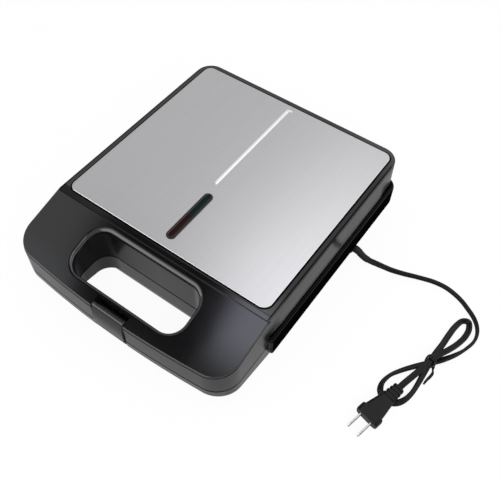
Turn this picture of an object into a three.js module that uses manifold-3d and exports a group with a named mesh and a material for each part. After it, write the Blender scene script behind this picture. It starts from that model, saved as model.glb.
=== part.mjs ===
// Heart-shaped waffle maker: a lidded two-plate iron with a through-going hand grip and a front latch.
// Lengths are in millimetres and +Z is up. The source works with y = 0 at the steel panel's front
// edge and +y towards the hinge, and the last step shifts everything so that the body is centred.
import * as THREE from "three";
import { mergeVertices } from "three/addons/utils/BufferGeometryUtils.js";
import Module from "manifold-3d";

const wasm = await Module();
wasm.setup();

// Clearance between pieces that touch, round a turning or passing piece, and along the lid's seam.
const GAP = 0.3;
const RUN_GAP = 0.4;
const SEAM_GAP = 0.6;
const REACH = 400;

// Steel panel and the rim that frames it.
const PANEL_W = 254;
const PANEL_D = 240.5;
const PANEL_R = 9;
const PANEL_SHEET = 0.8;
const PANEL_SKIRT = 1.8;
const PANEL_EDGE = 0.5;
const PANEL_LEDGE = 10;
const RIM_SIDE = 7.5;
const RIM_BACK = 7;
const RIM_DROP = 1;
const POCKET_DEPTH = 1.2;
const BEAD_W = 4.8;
const BEAD_H = 0.35;
const BEAD_FRONT = 92.5;
const BEAD_BACK = 234.6;
const BEAD_X = -5.2;
const BEAD_HOOK = 3.2;

// Body outline on the seam, and how it draws in upwards.
const DRAFT = 0.9;
const HALF_W = PANEL_W / 2 + RIM_SIDE + DRAFT;
const BACK_Y = PANEL_D + RIM_BACK + DRAFT;
const BACK_R = 20.5;
const SEAM_Z = 38;
const SEAM_GROOVE = 0.9;
const SEAM_GROOVE_DEPTH = 1;
const WALL = 2.6;

// Hand grip: bowed front, rounded corners, sloping top, finger window.
const BOW_FRONT = 84.9;
const BOW_R = 1066;
const FRONT_R = 28;
const FRONT_CORNER_Y = -51.4;
const FRONT_CORNER_SHARE = 84 / 90;
const CREASE_Y = -8;
const CREASE_W = 0.8;
const SLOPE_LIFT = 0.4;
const SLOPE_SHARE = 0.2675;
const COVER_T = 2.2;
const COVER_EDGE = 1.8;
const COVER_COLLAR = 3.6;
const BRIDGE_HALF = 3.4;
const BRIDGE_SINK = 0.5;
const WINDOW_HALF_W = 69.5;
const WINDOW_FRONT = -66.8;
const WINDOW_BACK = -16.2;
const WINDOW_R = 18;
const WINDOW_FLARE = 4.6;

// Grip half of the base: its underside rises towards the front.
const GRIP_LOW_Z = 12.8;
const GRIP_RISE_SHARE = 0.154;
const GRIP_EDGE = 4.5;
const GRIP_ROOT_Y = 12;

// Base tub.
const BASE_Z = 5;
const BASE_FLOOR = 2.6;
const BASE_FRONT_R = 14;
const BASE_TUCK = 10;
const FRONT_TUCK = 3;
const DECK_T = 2.6;
const FOOT_R = 9;
const FOOT_SEAT = 1;
const FOOT_TOP_SHARE = 0.9;
const FOOT_INSET_X = 26;
const FOOT_INSET_Y = 30;

// Proud rails along both sides of the seam.
const RAIL_OUT = 5.8;
const RAIL_BEVEL = 1.3;
const RAIL_SHOULDER = 6;
const LID_RAIL_TOP = 56;
const BASE_RAIL_LOW = 28.4;
const RAIL_FRONT = -9;
const RAIL_FRONT_R = 4;
const RAIL_BACK_R = 14;

// Hinge at the back, on one axis.
const HINGE_Y = 255;
const HINGE_Z = 40;
const HINGE_R = 6;
const HINGE_X = 78;
const LID_KNUCKLE_HALF = 9;
const BASE_KNUCKLE_W = 8;
const HINGE_PIN_R = 2.5;
const HINGE_WEB = 15;
const SLEEVE_R = 3.2;
const SLEEVE_BORE_R = 2.1;
const SLEEVE_HALF = 15;

// Front latch.
const LATCH_HALF_W = 20;
const LATCH_GAP = 0.9;
const LATCH_RECESS_Y = -71.5;
const LATCH_PIVOT_Y = -76.6;
const LATCH_PIVOT_Z = 56;
const LATCH_PIN_R = 1.5;
const LATCH_PIN_HALF = 23.6;
const LATCH_HUB_R = 4;
const LATCH_TOP = 68;
const LATCH_LOW = 30.2;
const LATCH_SKIN = 3.6;
const LATCH_FRONT = 84.6;
const LATCH_BULGE = 1.9;
const LATCH_BEVEL = 1;
const LATCH_BLOCK = 5;
const CATCH_Y = -80.2;
const CATCH_DEPTH = 3.4;
const CATCH_Z = 33.4;
const TOOTH = 1.6;
const LATCH_CREST = 4.1;

// Baking plates: five hearts with their points at the middle.
const HEARTS = 5;
const PLATE_MARGIN_X = 17.4;
const PLATE_MARGIN_Y = 20.3;
const PLATE_R = 9;
const PLATE_Y = (WINDOW_BACK + BACK_Y) / 2;
const PLATE_HALF_W = HALF_W - PLATE_MARGIN_X;
const PLATE_HALF_D = BACK_Y - PLATE_Y - PLATE_MARGIN_Y;
const PLATE_GAP = 1;
const LAND_GAP = 0.8;
const PLATE_SKIN = 4;
const CAVITY_DEPTH = 9;
const CAVITY_FLOOR = 3;
const CAVITY_DRAFT = 1.5;
const PAN_WALL = 3.2;
const HEART_POINT = 4;
const HEART_ANGLE = 35 * Math.PI / 180;
const HEART_LOBE_R = 23.5;
const HEART_LOBE_OFF = 19.8;
const GRID_PITCH = 13.2;
const GRID_FIRST = 22;
const STUD_BASE = 4;
const STUD_TOP = 2.2;
const STUD_H = 5.6;
const STUD_CLEAR = 0.7;
const GRID_ROWS = 4;

// Heating parts.
const HEATER_R = 3.3;
const HEATER_RING_R = 60;
const HEATER_TAIL_X = 13;
const HEATER_TAIL = 22;
const REFLECTOR_ROOM = 3.4;
const REFLECTOR_HALF_D = 84;
const REFLECTOR_R = 10;
const REFLECTOR_T = 0.8;
const REFLECTOR_EDGE = 5;
const REFLECTOR_DROP = 9;
const THERMOSTAT_HALF_W = 12;
const THERMOSTAT_HALF_D = 8;
const THERMOSTAT_H = 8;
const FUSE_R = 2.2;
const FUSE_HALF = 9;
const FUSE_Y = 22;

// Posts, brackets and screws.
const POST_X = 88;
const POST_Y = 94;
const POST_R = 5;
const SCREW_R = 1.8;
const SCREW_HEAD_R = 3.6;
const SCREW_HEAD_H = 1.9;
const SCREW_BITE = 2.4;
const STANDOFF_X = 78;
const STANDOFF_Y = 74;
const STANDOFF_R = 4;
const BRACKET_T = 3;
const BRACKET_HALF = 7;

// Indicator lights in the steel panel.
const BEZEL_X = 0.4;
const BEZEL_FRONT = 10.1;
const BEZEL_BACK = 79.8;
const BEZEL_HALF_W = 5.35;
const BEZEL_RIM = 2.6;
const BEZEL_PROUD = 1;
const BEZEL_DEPTH = 8;
const LENS_DEPTH = 3;
const LENS_SINK = 0.4;
const LAMP_R = 2.3;
const LAMP_H = 10;
const LAMP_SINK = 5;
const LAMP_SHARE = 0.25;
const LAMP_TOP_SHARE = 0.8;
const HOLDER_HALF_W = 6;
const HOLDER_H = 9;
const LAMP_ROOM = 7.2;

// Power cord, its entry, twist tie and plug.
const CORD_EXIT_Y = 160;
const CORD_EXIT_Z = 14;
const ENTRY_R = 5;
const ENTRY_FLANGE_R = 6.8;
const ENTRY_FLANGE_T = 2.4;
const ENTRY_INNER_R = 5.8;
const ENTRY_OUT = 1;
const ENTRY_IN = 11.4;
const BLOCK_HALF_W = 12;
const BLOCK_HALF_D = 10;
const BLOCK_H = 12;
const BLOCK_IN = 20;
const CORD_W = 6.6;
const CORD_T = 3.4;
const TIE_R = 0.65;
const TIE_GAP = 0.5;
const TIE_PITCH = 2;
const TIE_TAIL = 25;
const TIE_REACH = 14;
const PLUG_TILT_SHARE = 0.075;
const PLUG_RELIEF = 17.5;
const PLUG_BODY = 36.5;
const PLUG_FACE = 46.4;
const PLUG_REAR_W = 11.6;
const PLUG_NECK_W = 15.3;
const PLUG_BODY_W = 21.4;
const PLUG_FLANGE_W = 25.6;
const PLUG_REAR_H = 9;
const PLUG_NECK_H = 10;
const PLUG_BODY_H = 12.4;
const PLUG_FLANGE_H = 13.2;
const PLUG_RIBS = 4;
const PLUG_RIB_DEPTH = 0.9;
const BLADE_SPACING = 12.7;
const BLADE_W = 6.35;
const BLADE_T = 1.5;
const BLADE_L = 17.5;
const BLADE_HOLE_R = 1.6;
const BLADE_HOLE_AT = 13.4;
const BLADE_SEAT = 6;
const BLADE_TIP = 1.4;
const PLUG_STEP = 1;
const PLUG_ROUND_SHARE = 0.3;
const PLUG_WAIST_SHARE = 0.54;

// Cord route, chosen by hand from the photograph: [x, y, z, roll in quarter turns], where roll 0
// lies flat and roll 1 stands on edge. TIE_AT is where its strands cross inside the tie.
const TIE_AT = [269.6, 88.5];
const TIE_Z = [4.1, 8.3, 12.5];
const PLUG_AT = [257.9, 43, 10.8];
const PLUG_DIR = [-0.239, -0.971];
const ROUTE_LEAD = [
  [150, 160.6, 12.2, 0.1], [157, 161.7, 8, 0.25], [166, 163.3, 4.5, 0.4], [175, 165.3, 3.8, 0.7],
  [185, 167.6, 3.8, 1], [199, 171, 3.8, 1], [213, 175.8, 3.8, 1], [228.5, 180.4, 3.8, 1],
  [243, 181.6, 3.8, 1], [257, 178.7, 3.8, 1], [270.6, 172.2, 3.8, 1], [282, 163.8, 3.8, 1],
  [290.8, 154, 3.8, 1], [295.2, 143, 3.8, 1], [295, 130.4, 3.8, 1], [289.6, 117, 3.9, 0.9],
  [280.9, 104, 4.4, 0.4], [273.4, 93.4, 4.1, 0.05],
];
const ROUTE_LOW_LOOP = [
  [265.9, 83.7, 4.1, 0.05], [259.6, 75.2, 3.9, 0.3], [251.4, 64.6, 3.8, 0.5], [243.6, 52.4, 3.8, 0.7],
  [239.9, 41, 3.8, 0.6], [241.6, 32.4, 3.1, 0.25], [247.2, 27.6, 2.1, 0], [254.4, 26.4, 2, 0],
  [261, 28.6, 2.5, 0.1], [266.8, 36, 3.7, 0.5], [269.9, 48.6, 3.8, 0.7], [270.7, 61, 4.1, 0.6],
  [270.2, 74, 6, 0.3],
];
const ROUTE_HIGH_LOOP = [
  [268.9, 103, 6.8, 0.1], [268.4, 118, 4.8, 0.3], [268.5, 134, 3.6, 0.6], [271.4, 149, 3.5, 0.8],
  [277.4, 157, 3.5, 0.8], [283.6, 155, 3.5, 0.8], [287.4, 145.2, 3.6, 0.9],
  [287.2, 131.6, 3.8, 0.9], [282.8, 117.4, 6.6, 0.5],
  [275.7, 103.4, 11.2, 0.15],
];
const ROUTE_TAIL = [[266.6, 74.6, 12.4, 0], [262.6, 60, 11.9, 0]];
const TIE_AXIS = [0.3, 0.954];
const TIE_UP_SHARES = [[0.36, 0.86, 0], [0.34, 0.6, 0.1], [0.26, 0.3, 0.45], [0.12, 0.1, 0.8]];
const TIE_DOWN_SHARES = [[0.09, 0.1, 0.75], [0.14, 0.3, 0.4], [0.26, 0.6, 0.1], [0.32, 0.86, 0]];
const RIB_SHARES = [[0, 0], [0.5, 0], [0.62, 1], [0.9, 1]];
const FINE_STEPS = 24;
const LEAD_STEPS = 36;
const BOW_STEPS = 56;
const TAIL_STEPS = 8;
const TIE_STEPS = 20;
const TIE_TURNS = 2;

// The body's middle, which becomes y = 0: the latch's bulge in front and the hinge barrels behind.
const MIDDLE_Y = (HINGE_Y + HINGE_R - LATCH_FRONT - LATCH_BULGE) / 2;

// The lid is as high as what it holds: half the batter room, heater, reflector, lamps and bezel.
const UPPER_STACK = LAND_GAP / 2 + CAVITY_DEPTH + CAVITY_FLOOR + REFLECTOR_DROP + HEATER_R + REFLECTOR_T;
const LAMP_STACK = LAMP_ROOM + HOLDER_H + GAP + BEZEL_DEPTH;
const PANEL_TOP = SEAM_Z + UPPER_STACK + LAMP_STACK;
const RIM_TOP = PANEL_TOP - RIM_DROP;
const SLOPE_TOP = PANEL_TOP + SLOPE_LIFT;

// The reflectors end short of the terminal block.
const REFLECTOR_HALF_W = HALF_W - BLOCK_IN - BLOCK_HALF_W * 2 - REFLECTOR_ROOM;

const QUARTER_TURN = 90;
const FULL_TURN = 360;

const BLACK = { color: 0x1b1b1d, roughness: 0.42, metalness: 0 };
const GLOSS = { color: 0x161618, roughness: 0.28, metalness: 0 };
const RUBBER = { color: 0x141414, roughness: 0.8, metalness: 0 };
const STEEL = { color: 0xc4c3c4, roughness: 0.34, metalness: 0.9 };
const PLATED = { color: 0xb9b9bb, roughness: 0.3, metalness: 0.95 };
const NONSTICK = { color: 0x2a2a2c, roughness: 0.5, metalness: 0.35 };
const ALUMINIUM = { color: 0xa9abae, roughness: 0.42, metalness: 0.9 };
const CERAMIC = { color: 0xe6e2d8, roughness: 0.7, metalness: 0 };
const RED_GLASS = { color: 0x8f1b14, roughness: 0.18, metalness: 0 };
const GREEN_GLASS = { color: 0x1d4f49, roughness: 0.18, metalness: 0 };
const LAMP_GLASS = { color: 0xd9d2c4, roughness: 0.15, metalness: 0 };

// Geometry helpers

function signedVolume(geometry) {
  const p = geometry.getAttribute("position");
  const index = geometry.getIndex();
  const corner = [new THREE.Vector3(), new THREE.Vector3(), new THREE.Vector3()];
  let total = 0;
  for (let i = 0; i < index.count; i += 3) {
    corner.forEach((c, k) => c.fromBufferAttribute(p, index.getX(i + k)));
    total += corner[0].dot(corner[1].clone().cross(corner[2]));
  }
  return total;
}

function flipFaces(geometry) {
  const index = geometry.getIndex();
  for (let i = 0; i < index.count; i += 3) {
    const kept = index.getX(i + 1);
    index.setX(i + 1, index.getX(i + 2));
    index.setX(i + 2, kept);
  }
}

function toSolid(geometry) {
  const plain = geometry.clone();
  plain.deleteAttribute("normal");
  plain.deleteAttribute("uv");
  const merged = mergeVertices(plain);
  if (signedVolume(merged) < 0) flipFaces(merged);
  const vertProperties = new Float32Array(merged.getAttribute("position").array);
  const triVerts = new Uint32Array(merged.getIndex().array);
  return new wasm.Manifold(new wasm.Mesh({ numProp: 3, vertProperties, triVerts }));
}

function toGeometry(solid) {
  const mesh = solid.getMesh();
  const geometry = new THREE.BufferGeometry();
  const positions = new Float32Array(mesh.vertProperties);
  geometry.setAttribute("position", new THREE.BufferAttribute(positions, 3));
  geometry.setIndex(new THREE.BufferAttribute(new Uint32Array(mesh.triVerts), 1));
  return geometry;
}

const join = (first, ...others) => others.reduce((whole, other) => whole.add(other), first);
const cut = (first, ...others) => others.reduce((whole, other) => whole.subtract(other), first);

// A closed skin over a stack of rings of points that all have the same count. The end rings are
// capped by their first two coordinates, or by a fan when convex; place then reorders coordinates.
function skin(stacked, { convex = false, place = (point) => point } = {}) {
  const outline = stacked[0].map(([a, b]) => new THREE.Vector2(a, b));
  const clockwise = !convex && THREE.ShapeUtils.area(outline) < 0;
  const rings = clockwise ? stacked.map((ring) => [...ring].reverse()) : stacked;
  const count = outline.length;
  const faces = [];
  for (let r = 0; r + 1 < rings.length; r += 1) {
    for (let i = 0; i < count; i += 1) {
      const a = r * count + i;
      const b = r * count + (i + 1) % count;
      faces.push(a, b, b + count, a, b + count, a + count);
    }
  }
  const fan = outline.slice(2).map((point, i) => [0, i + 1, i + 2]);
  if (clockwise) outline.reverse();
  const cap = convex ? fan : THREE.ShapeUtils.triangulateShape(outline, []);
  const last = (rings.length - 1) * count;
  cap.forEach(([a, b, c]) => faces.push(a, c, b, last + a, last + b, last + c));
  const geometry = new THREE.BufferGeometry();
  const positions = new Float32Array(rings.map((ring) => ring.map(place)).flat(2));
  geometry.setAttribute("position", new THREE.BufferAttribute(positions, 3));
  geometry.setIndex(faces);
  return toSolid(geometry);
}

// An outline at one height, or draped on a height that depends on y.
const heightAt = (height, y) => (height instanceof Function ? height(y) : height);
const at = (outline, height) => outline.map(([x, y]) => [x, y, heightAt(height, y)]);
const prism = (outline, low, high) => skin([at(outline, low), at(outline, high)]);

// A prism along X over an outline of [y, z] points.
const prismX = (outline, low, high) => skinX([low, high].map((x) => outline.map(([y, z]) => [y, z, x])));
const skinX = (rings) => skin(rings, { place: ([y, z, x]) => [x, y, z] });

function box(x0, x1, y0, y1, z0, z1) {
  return prism([[x0, y0], [x1, y0], [x1, y1], [x0, y1]], z0, z1);
}

function rod(radius, x, y, low, high, sides = 16, topRadius = radius) {
  const geometry = new THREE.CylinderGeometry(topRadius, radius, high - low, sides);
  geometry.rotateX(Math.PI / 2).translate(x, y, (low + high) / 2);
  return toSolid(geometry);
}

function rodX(radius, y, z, low, high, sides = 16) {
  const geometry = new THREE.CylinderGeometry(radius, radius, high - low, sides);
  geometry.rotateZ(Math.PI / 2).translate((low + high) / 2, y, z);
  return toSolid(geometry);
}

function arc(x, y, radius, from, to, steps) {
  const turn = (i) => THREE.MathUtils.degToRad(from + (to - from) * i / steps);
  const count = Array.from({ length: steps + 1 });
  return count.map((_, i) => [x + radius * Math.cos(turn(i)), y + radius * Math.sin(turn(i))]);
}

function roundedRect(x0, x1, y0, y1, radius, steps = 5, frontRadius = radius) {
  return [
    ...arc(x1 - radius, y1 - radius, radius, 0, 90, steps),
    ...arc(x0 + radius, y1 - radius, radius, 90, 180, steps),
    ...arc(x0 + frontRadius, y0 + frontRadius, frontRadius, 180, 270, steps),
    ...arc(x1 - frontRadius, y0 + frontRadius, frontRadius, 270, 360, steps),
  ];
}

// Outlines of the body, each drawn in by an inset

function frontOutline(inset) {
  const turn = QUARTER_TURN * FRONT_CORNER_SHARE;
  const cornerX = HALF_W - FRONT_R;
  const left = arc(-cornerX, FRONT_CORNER_Y, FRONT_R - inset, 2 * QUARTER_TURN, 2 * QUARTER_TURN + turn, 6);
  const right = arc(cornerX, FRONT_CORNER_Y, FRONT_R - inset, -turn, 0, 6);
  const half = THREE.MathUtils.radToDeg(Math.asin((cornerX - inset) / BOW_R));
  const bow = arc(0, BOW_R - BOW_FRONT, BOW_R - inset, -QUARTER_TURN - half, half - QUARTER_TURN, 8);
  return [...left, ...bow, ...right];
}

function backOutline(inset) {
  return [
    ...arc(HALF_W - BACK_R, BACK_Y - BACK_R, BACK_R - inset, 0, 90, 5),
    ...arc(BACK_R - HALF_W, BACK_Y - BACK_R, BACK_R - inset, 90, 180, 5),
  ];
}

const planOutline = (inset) => [...backOutline(inset), ...frontOutline(inset)];

function gripOutline(inset, rootY) {
  const side = HALF_W - inset;
  return [[-side, rootY], ...frontOutline(inset), [side, rootY]];
}

function rimOutline(inset, rootY) {
  const side = HALF_W - inset;
  return [[side, rootY], ...backOutline(inset), [-side, rootY]];
}

function tubOutline(inset, tuck = 0) {
  const x = HALF_W - inset - tuck * BASE_TUCK;
  const front = WINDOW_BACK + inset + tuck * FRONT_TUCK;
  const back = BACK_Y - inset - tuck * BASE_TUCK;
  const corner = inset + tuck * BASE_TUCK;
  return roundedRect(-x, x, front, back, BACK_R - corner, 5, BASE_FRONT_R - corner);
}

function windowOutline(outset) {
  const x = WINDOW_HALF_W + outset;
  return roundedRect(-x, x, WINDOW_FRONT - outset, WINDOW_BACK + outset, WINDOW_R + outset, 5);
}

const slopeTop = (y) => SLOPE_TOP + SLOPE_SHARE * y;
const below = (surface, drop) => (y) => surface(y) - drop;
const gripLow = (y) => GRIP_LOW_Z - GRIP_RISE_SHARE * y;

// Lid shells

const COVER_PROFILE_SHARES = [[1, 0], [0.35, 0.3], [0, 1]];
const FLARE_SHARES = [[1, 0], [0.52, 0.16], [0.18, 0.46], [0, 1]];

function coverSheet(outlineAt, surface) {
  const edge = COVER_PROFILE_SHARES.map(([inset, drop]) => [DRAFT + inset * COVER_EDGE, drop * COVER_EDGE]);
  const steps = [...edge, [DRAFT, COVER_T]];
  return skin(steps.reverse().map(([inset, drop]) => at(outlineAt(inset), below(surface, drop))));
}

function windowFlare() {
  const lip = FLARE_SHARES.map(([out, drop]) => [out * WINDOW_FLARE, drop * COVER_COLLAR]);
  const steps = [[0, REACH / 4], ...lip.reverse(), [WINDOW_FLARE, -COVER_T]];
  return skin(steps.map(([out, drop]) => at(windowOutline(out), below(slopeTop, drop))));
}

function latchSlot(backY) {
  const half = LATCH_HALF_W + LATCH_GAP;
  return box(-half, half, -REACH, backY, -REACH, REACH);
}

function lidTopCover() {
  const creaseBack = CREASE_Y + CREASE_W;
  const grip = coverSheet((inset) => gripOutline(inset, CREASE_Y - inset + DRAFT), slopeTop);
  const rim = coverSheet((inset) => rimOutline(inset, creaseBack + inset - DRAFT), () => RIM_TOP);
  const bridgeX = HALF_W - DRAFT - COVER_T;
  const bridgeTop = slopeTop(CREASE_Y - BRIDGE_HALF) - BRIDGE_SINK;
  const bridgeLow = RIM_TOP - COVER_T - COVER_EDGE;
  const [bridgeFront, bridgeBack] = [CREASE_Y - BRIDGE_HALF, CREASE_Y + BRIDGE_HALF];
  const bridge = box(-bridgeX, bridgeX, bridgeFront, bridgeBack, bridgeLow, bridgeTop);
  const collarOut = windowOutline(WALL);
  const collarHeights = [COVER_COLLAR, COVER_T / 2].map((drop) => below(slopeTop, drop));
  const collar = skin(collarHeights.map((height) => at(collarOut, height)));
  return cut(
    join(grip, rim, bridge, collar),
    prism(panelOutline(-GAP), RIM_TOP - POCKET_DEPTH, REACH),
    prism(panelOutline(PANEL_LEDGE), 0, REACH),
    windowFlare(),
    latchSlot(LATCH_RECESS_Y),
  );
}

function panelOutline(inset) {
  const x = PANEL_W / 2 - inset;
  return roundedRect(-x, x, inset, PANEL_D - inset, Math.max(PANEL_R - inset, PANEL_EDGE), 5);
}

// What lies over the lid frame: everything above the cover's underside.
function coverRoom() {
  const front = -REACH;
  const ledge = CREASE_Y - BRIDGE_HALF - GAP;
  const under = COVER_T + GAP;
  const bridgeLow = RIM_TOP - COVER_T - COVER_EDGE - GAP;
  const rootY = CREASE_Y + BRIDGE_HALF + GAP;
  return prismX([
    [front, slopeTop(front) - under], [ledge, slopeTop(ledge) - under], [ledge, bridgeLow],
    [rootY, bridgeLow], [rootY, RIM_TOP - under], [REACH, RIM_TOP - under], [REACH, REACH], [front, REACH],
  ], -REACH, REACH);
}

// The rails run along both sides and end in the body's back corners.
function railOutline(bevel) {
  const x = HALF_W + RAIL_OUT - bevel;
  const back = BACK_Y - BACK_R + RAIL_BACK_R - bevel;
  return roundedRect(-x, x, FRONT_CORNER_Y, back, RAIL_BACK_R - bevel, 5, RAIL_BACK_R - bevel);
}

function rail(profile, corner) {
  const whole = skin(profile.map(([z, bevel]) => at(railOutline(bevel), z)));
  const inner = prism(planOutline(WALL / 2), -REACH, REACH);
  const [low, high] = [profile[0][0], profile.at(-1)[0]];
  const zone = prismX([...corner, [REACH, high], [REACH, low]], -REACH, REACH);
  return cut(whole.intersect(zone), inner);
}

function lidRail(low) {
  const shoulder = LID_RAIL_TOP - RAIL_SHOULDER;
  const edge = [RAIL_FRONT + RAIL_FRONT_R, LID_RAIL_TOP - RAIL_FRONT_R];
  const slope = [shoulder + RAIL_SHOULDER * 2 / 3, RAIL_BEVEL];
  return rail([[low, 0], [shoulder, 0], slope, [LID_RAIL_TOP, RAIL_BEVEL * 2.6]],
    [[RAIL_FRONT, low], ...arc(...edge, RAIL_FRONT_R, 180, 90, 4)]);
}

function baseRail(high) {
  const edge = [RAIL_FRONT + RAIL_FRONT_R, BASE_RAIL_LOW + RAIL_FRONT_R];
  return rail([[BASE_RAIL_LOW, RAIL_BEVEL], [BASE_RAIL_LOW + RAIL_BEVEL, 0], [high, 0]],
    [...arc(...edge, RAIL_FRONT_R, 270, 180, 4), [RAIL_FRONT, high]]);
}

// A knuckle is a barrel on the hinge axis with an arm that reaches into the wall.
function lidKnuckles() {
  const low = SEAM_Z + SEAM_GAP / 2;
  const web = (x0, x1) => {
    const barrel = rodX(HINGE_R, HINGE_Y, HINGE_Z, x0, x1, 24);
    const arm = prismX([[BACK_Y - WALL / 2, low], [HINGE_Y, low], [HINGE_Y + HINGE_R * Math.SQRT1_2,
      HINGE_Z + HINGE_R * Math.SQRT1_2], [BACK_Y - WALL / 2, HINGE_Z + HINGE_WEB]], x0, x1);
    return join(barrel, arm);
  };
  const sides = [-HINGE_X, HINGE_X].map((x) => web(x - LID_KNUCKLE_HALF, x + LID_KNUCKLE_HALF));
  return [...sides, web(RUN_GAP / 2, SLEEVE_HALF)];
}

function baseKnuckles() {
  const high = SEAM_Z - SEAM_GAP / 2;
  const web = (x0, x1) => {
    const barrel = rodX(HINGE_R, HINGE_Y, HINGE_Z, x0, x1, 24);
    const arm = prismX([[BACK_Y - WALL / 2, HINGE_Z - HINGE_WEB], [HINGE_Y + HINGE_R * Math.SQRT1_2,
      HINGE_Z - HINGE_R * Math.SQRT1_2], [HINGE_Y, high], [BACK_Y - WALL / 2, high]], x0, x1);
    return join(barrel, arm);
  };
  const first = LID_KNUCKLE_HALF + RUN_GAP;
  const pairs = [-HINGE_X, HINGE_X].flatMap((x) => [
    web(x - first - BASE_KNUCKLE_W, x - first), web(x + first, x + first + BASE_KNUCKLE_W)]);
  return [...pairs, web(-SLEEVE_HALF, -RUN_GAP / 2)];
}

function hingeBores() {
  const pin = HINGE_PIN_R + GAP;
  const reach = LID_KNUCKLE_HALF + RUN_GAP + BASE_KNUCKLE_W + GAP;
  const pins = [-HINGE_X, HINGE_X].map((x) => rodX(pin, HINGE_Y, HINGE_Z, x - reach, x + reach, 24));
  return [...pins, rodX(SLEEVE_R + GAP, HINGE_Y, HINGE_Z, -REACH / 8, REACH / 8, 24)];
}

// The plate's opening, and the housing's own ledge round it.
function plateHole(low, high) {
  const x = PLATE_HALF_W + PLATE_GAP;
  const y = PLATE_HALF_D + PLATE_GAP;
  return prism(roundedRect(-x, x, PLATE_Y - y, PLATE_Y + y, PLATE_R + PLATE_GAP, 4), low, high);
}

const corners = (x, y) => [[-x, -y], [x, -y], [x, y], [-x, y]].map(([cx, cy]) => [cx, PLATE_Y + cy]);

function lidBrackets() {
  const low = SEAM_Z + LAND_GAP / 2 + PLATE_SKIN + GAP;
  const wallX = HALF_W - DRAFT - WALL / 2;
  return corners(POST_X, POST_Y).map(([x, y]) => {
    const side = Math.sign(x);
    const [x0, x1] = [side * (POST_X - BRACKET_HALF), side * wallX].sort((a, b) => a - b);
    return box(x0, x1, y - BRACKET_HALF, y + BRACKET_HALF, low, low + BRACKET_T);
  });
}

function lidPosts() {
  const low = SEAM_Z + LAND_GAP / 2 + PLATE_SKIN + GAP;
  const high = reflectorZ(1) - REFLECTOR_EDGE - GAP;
  return corners(POST_X, STANDOFF_Y).map(([x, y]) => {
    const side = Math.sign(x);
    const wallX = HALF_W - DRAFT - WALL / 2;
    const [x0, x1] = [side * (REFLECTOR_HALF_W - STANDOFF_R), side * wallX].sort((a, b) => a - b);
    return box(x0, x1, y - STANDOFF_R / 2, y + STANDOFF_R / 2, low, high);
  });
}

function lidFrame() {
  const low = SEAM_Z + SEAM_GAP / 2;
  const step = low + SEAM_GROOVE;
  const outer = skin([
    at(planOutline(SEAM_GROOVE_DEPTH), low), at(planOutline(SEAM_GROOVE_DEPTH), step),
    at(planOutline(0), step), at(planOutline(DRAFT), RIM_TOP),
  ]);
  const deck = low + DECK_T;
  const innerX = HALF_W - DRAFT - WALL;
  const innerFront = WINDOW_BACK + WALL;
  const innerBack = BACK_Y - DRAFT - WALL;
  const bodyCore = prism(roundedRect(-innerX, innerX, innerFront, innerBack, BACK_R - WALL, 5), deck, REACH);
  const gripCore = cut(
    prism(gripOutline(DRAFT + WALL, WINDOW_BACK - GAP), deck, REACH),
    prism(windowOutline(WALL), -REACH, REACH),
    latchHousing(),
  );
  const shell = cut(outer, bodyCore, gripCore, plateHole(-REACH, REACH), coverRoom());
  const carried = [...lidKnuckles(), ...lidBrackets(), ...lidPosts()];
  const walls = join(shell, lidRail(low), ...carried);
  const collarRoom = windowOutline(WALL + GAP);
  const pinReach = LATCH_PIN_HALF + GAP;
  return cut(
    walls,
    prism(windowOutline(0), -REACH, REACH),
    skin([at(collarRoom, below(slopeTop, COVER_COLLAR + GAP)), at(collarRoom, REACH)]),
    latchSlot(LATCH_RECESS_Y),
    rodX(LATCH_PIN_R + GAP, LATCH_PIVOT_Y, LATCH_PIVOT_Z, -pinReach, pinReach),
    ...hingeBores(),
    ...corners(POST_X, POST_Y).map(([x, y]) => rod(SCREW_R + GAP, x, y, 0, REACH, 8)),
  );
}

function latchHousing() {
  const half = LATCH_HALF_W + LATCH_GAP + LATCH_BLOCK;
  return box(-half, half, -REACH, WINDOW_FRONT, -REACH, REACH);
}

// Base

const TUB_SHARES = [[0, 1], [0.05, 0.62], [0.18, 0.36], [0.45, 0.15], [1, 0.03]];

function tub(inset, low, high) {
  const ring = ([up, tuck]) => at(tubOutline(inset, tuck), low + up * (high - low));
  return skin(TUB_SHARES.map(ring));
}

function gripBase() {
  const root = (inset) => gripOutline(inset, GRIP_ROOT_Y);
  const high = SEAM_Z - SEAM_GAP / 2;
  return skin([
    at(root(GRIP_EDGE), gripLow),
    at(root(GRIP_EDGE / 3), (y) => gripLow(y) + GRIP_EDGE / 4),
    at(root(GRIP_EDGE / 12), (y) => gripLow(y) + GRIP_EDGE * 3 / 4),
    at(root(0), high),
  ]);
}

function catchRecess() {
  const half = LATCH_HALF_W + LATCH_GAP;
  const inner = half - LATCH_BLOCK / 2;
  return [
    box(-half, half, -REACH, CATCH_Y, 0, REACH),
    box(-inner, inner, -REACH, CATCH_Y + CATCH_DEPTH, 0, CATCH_Z),
  ];
}

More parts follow.
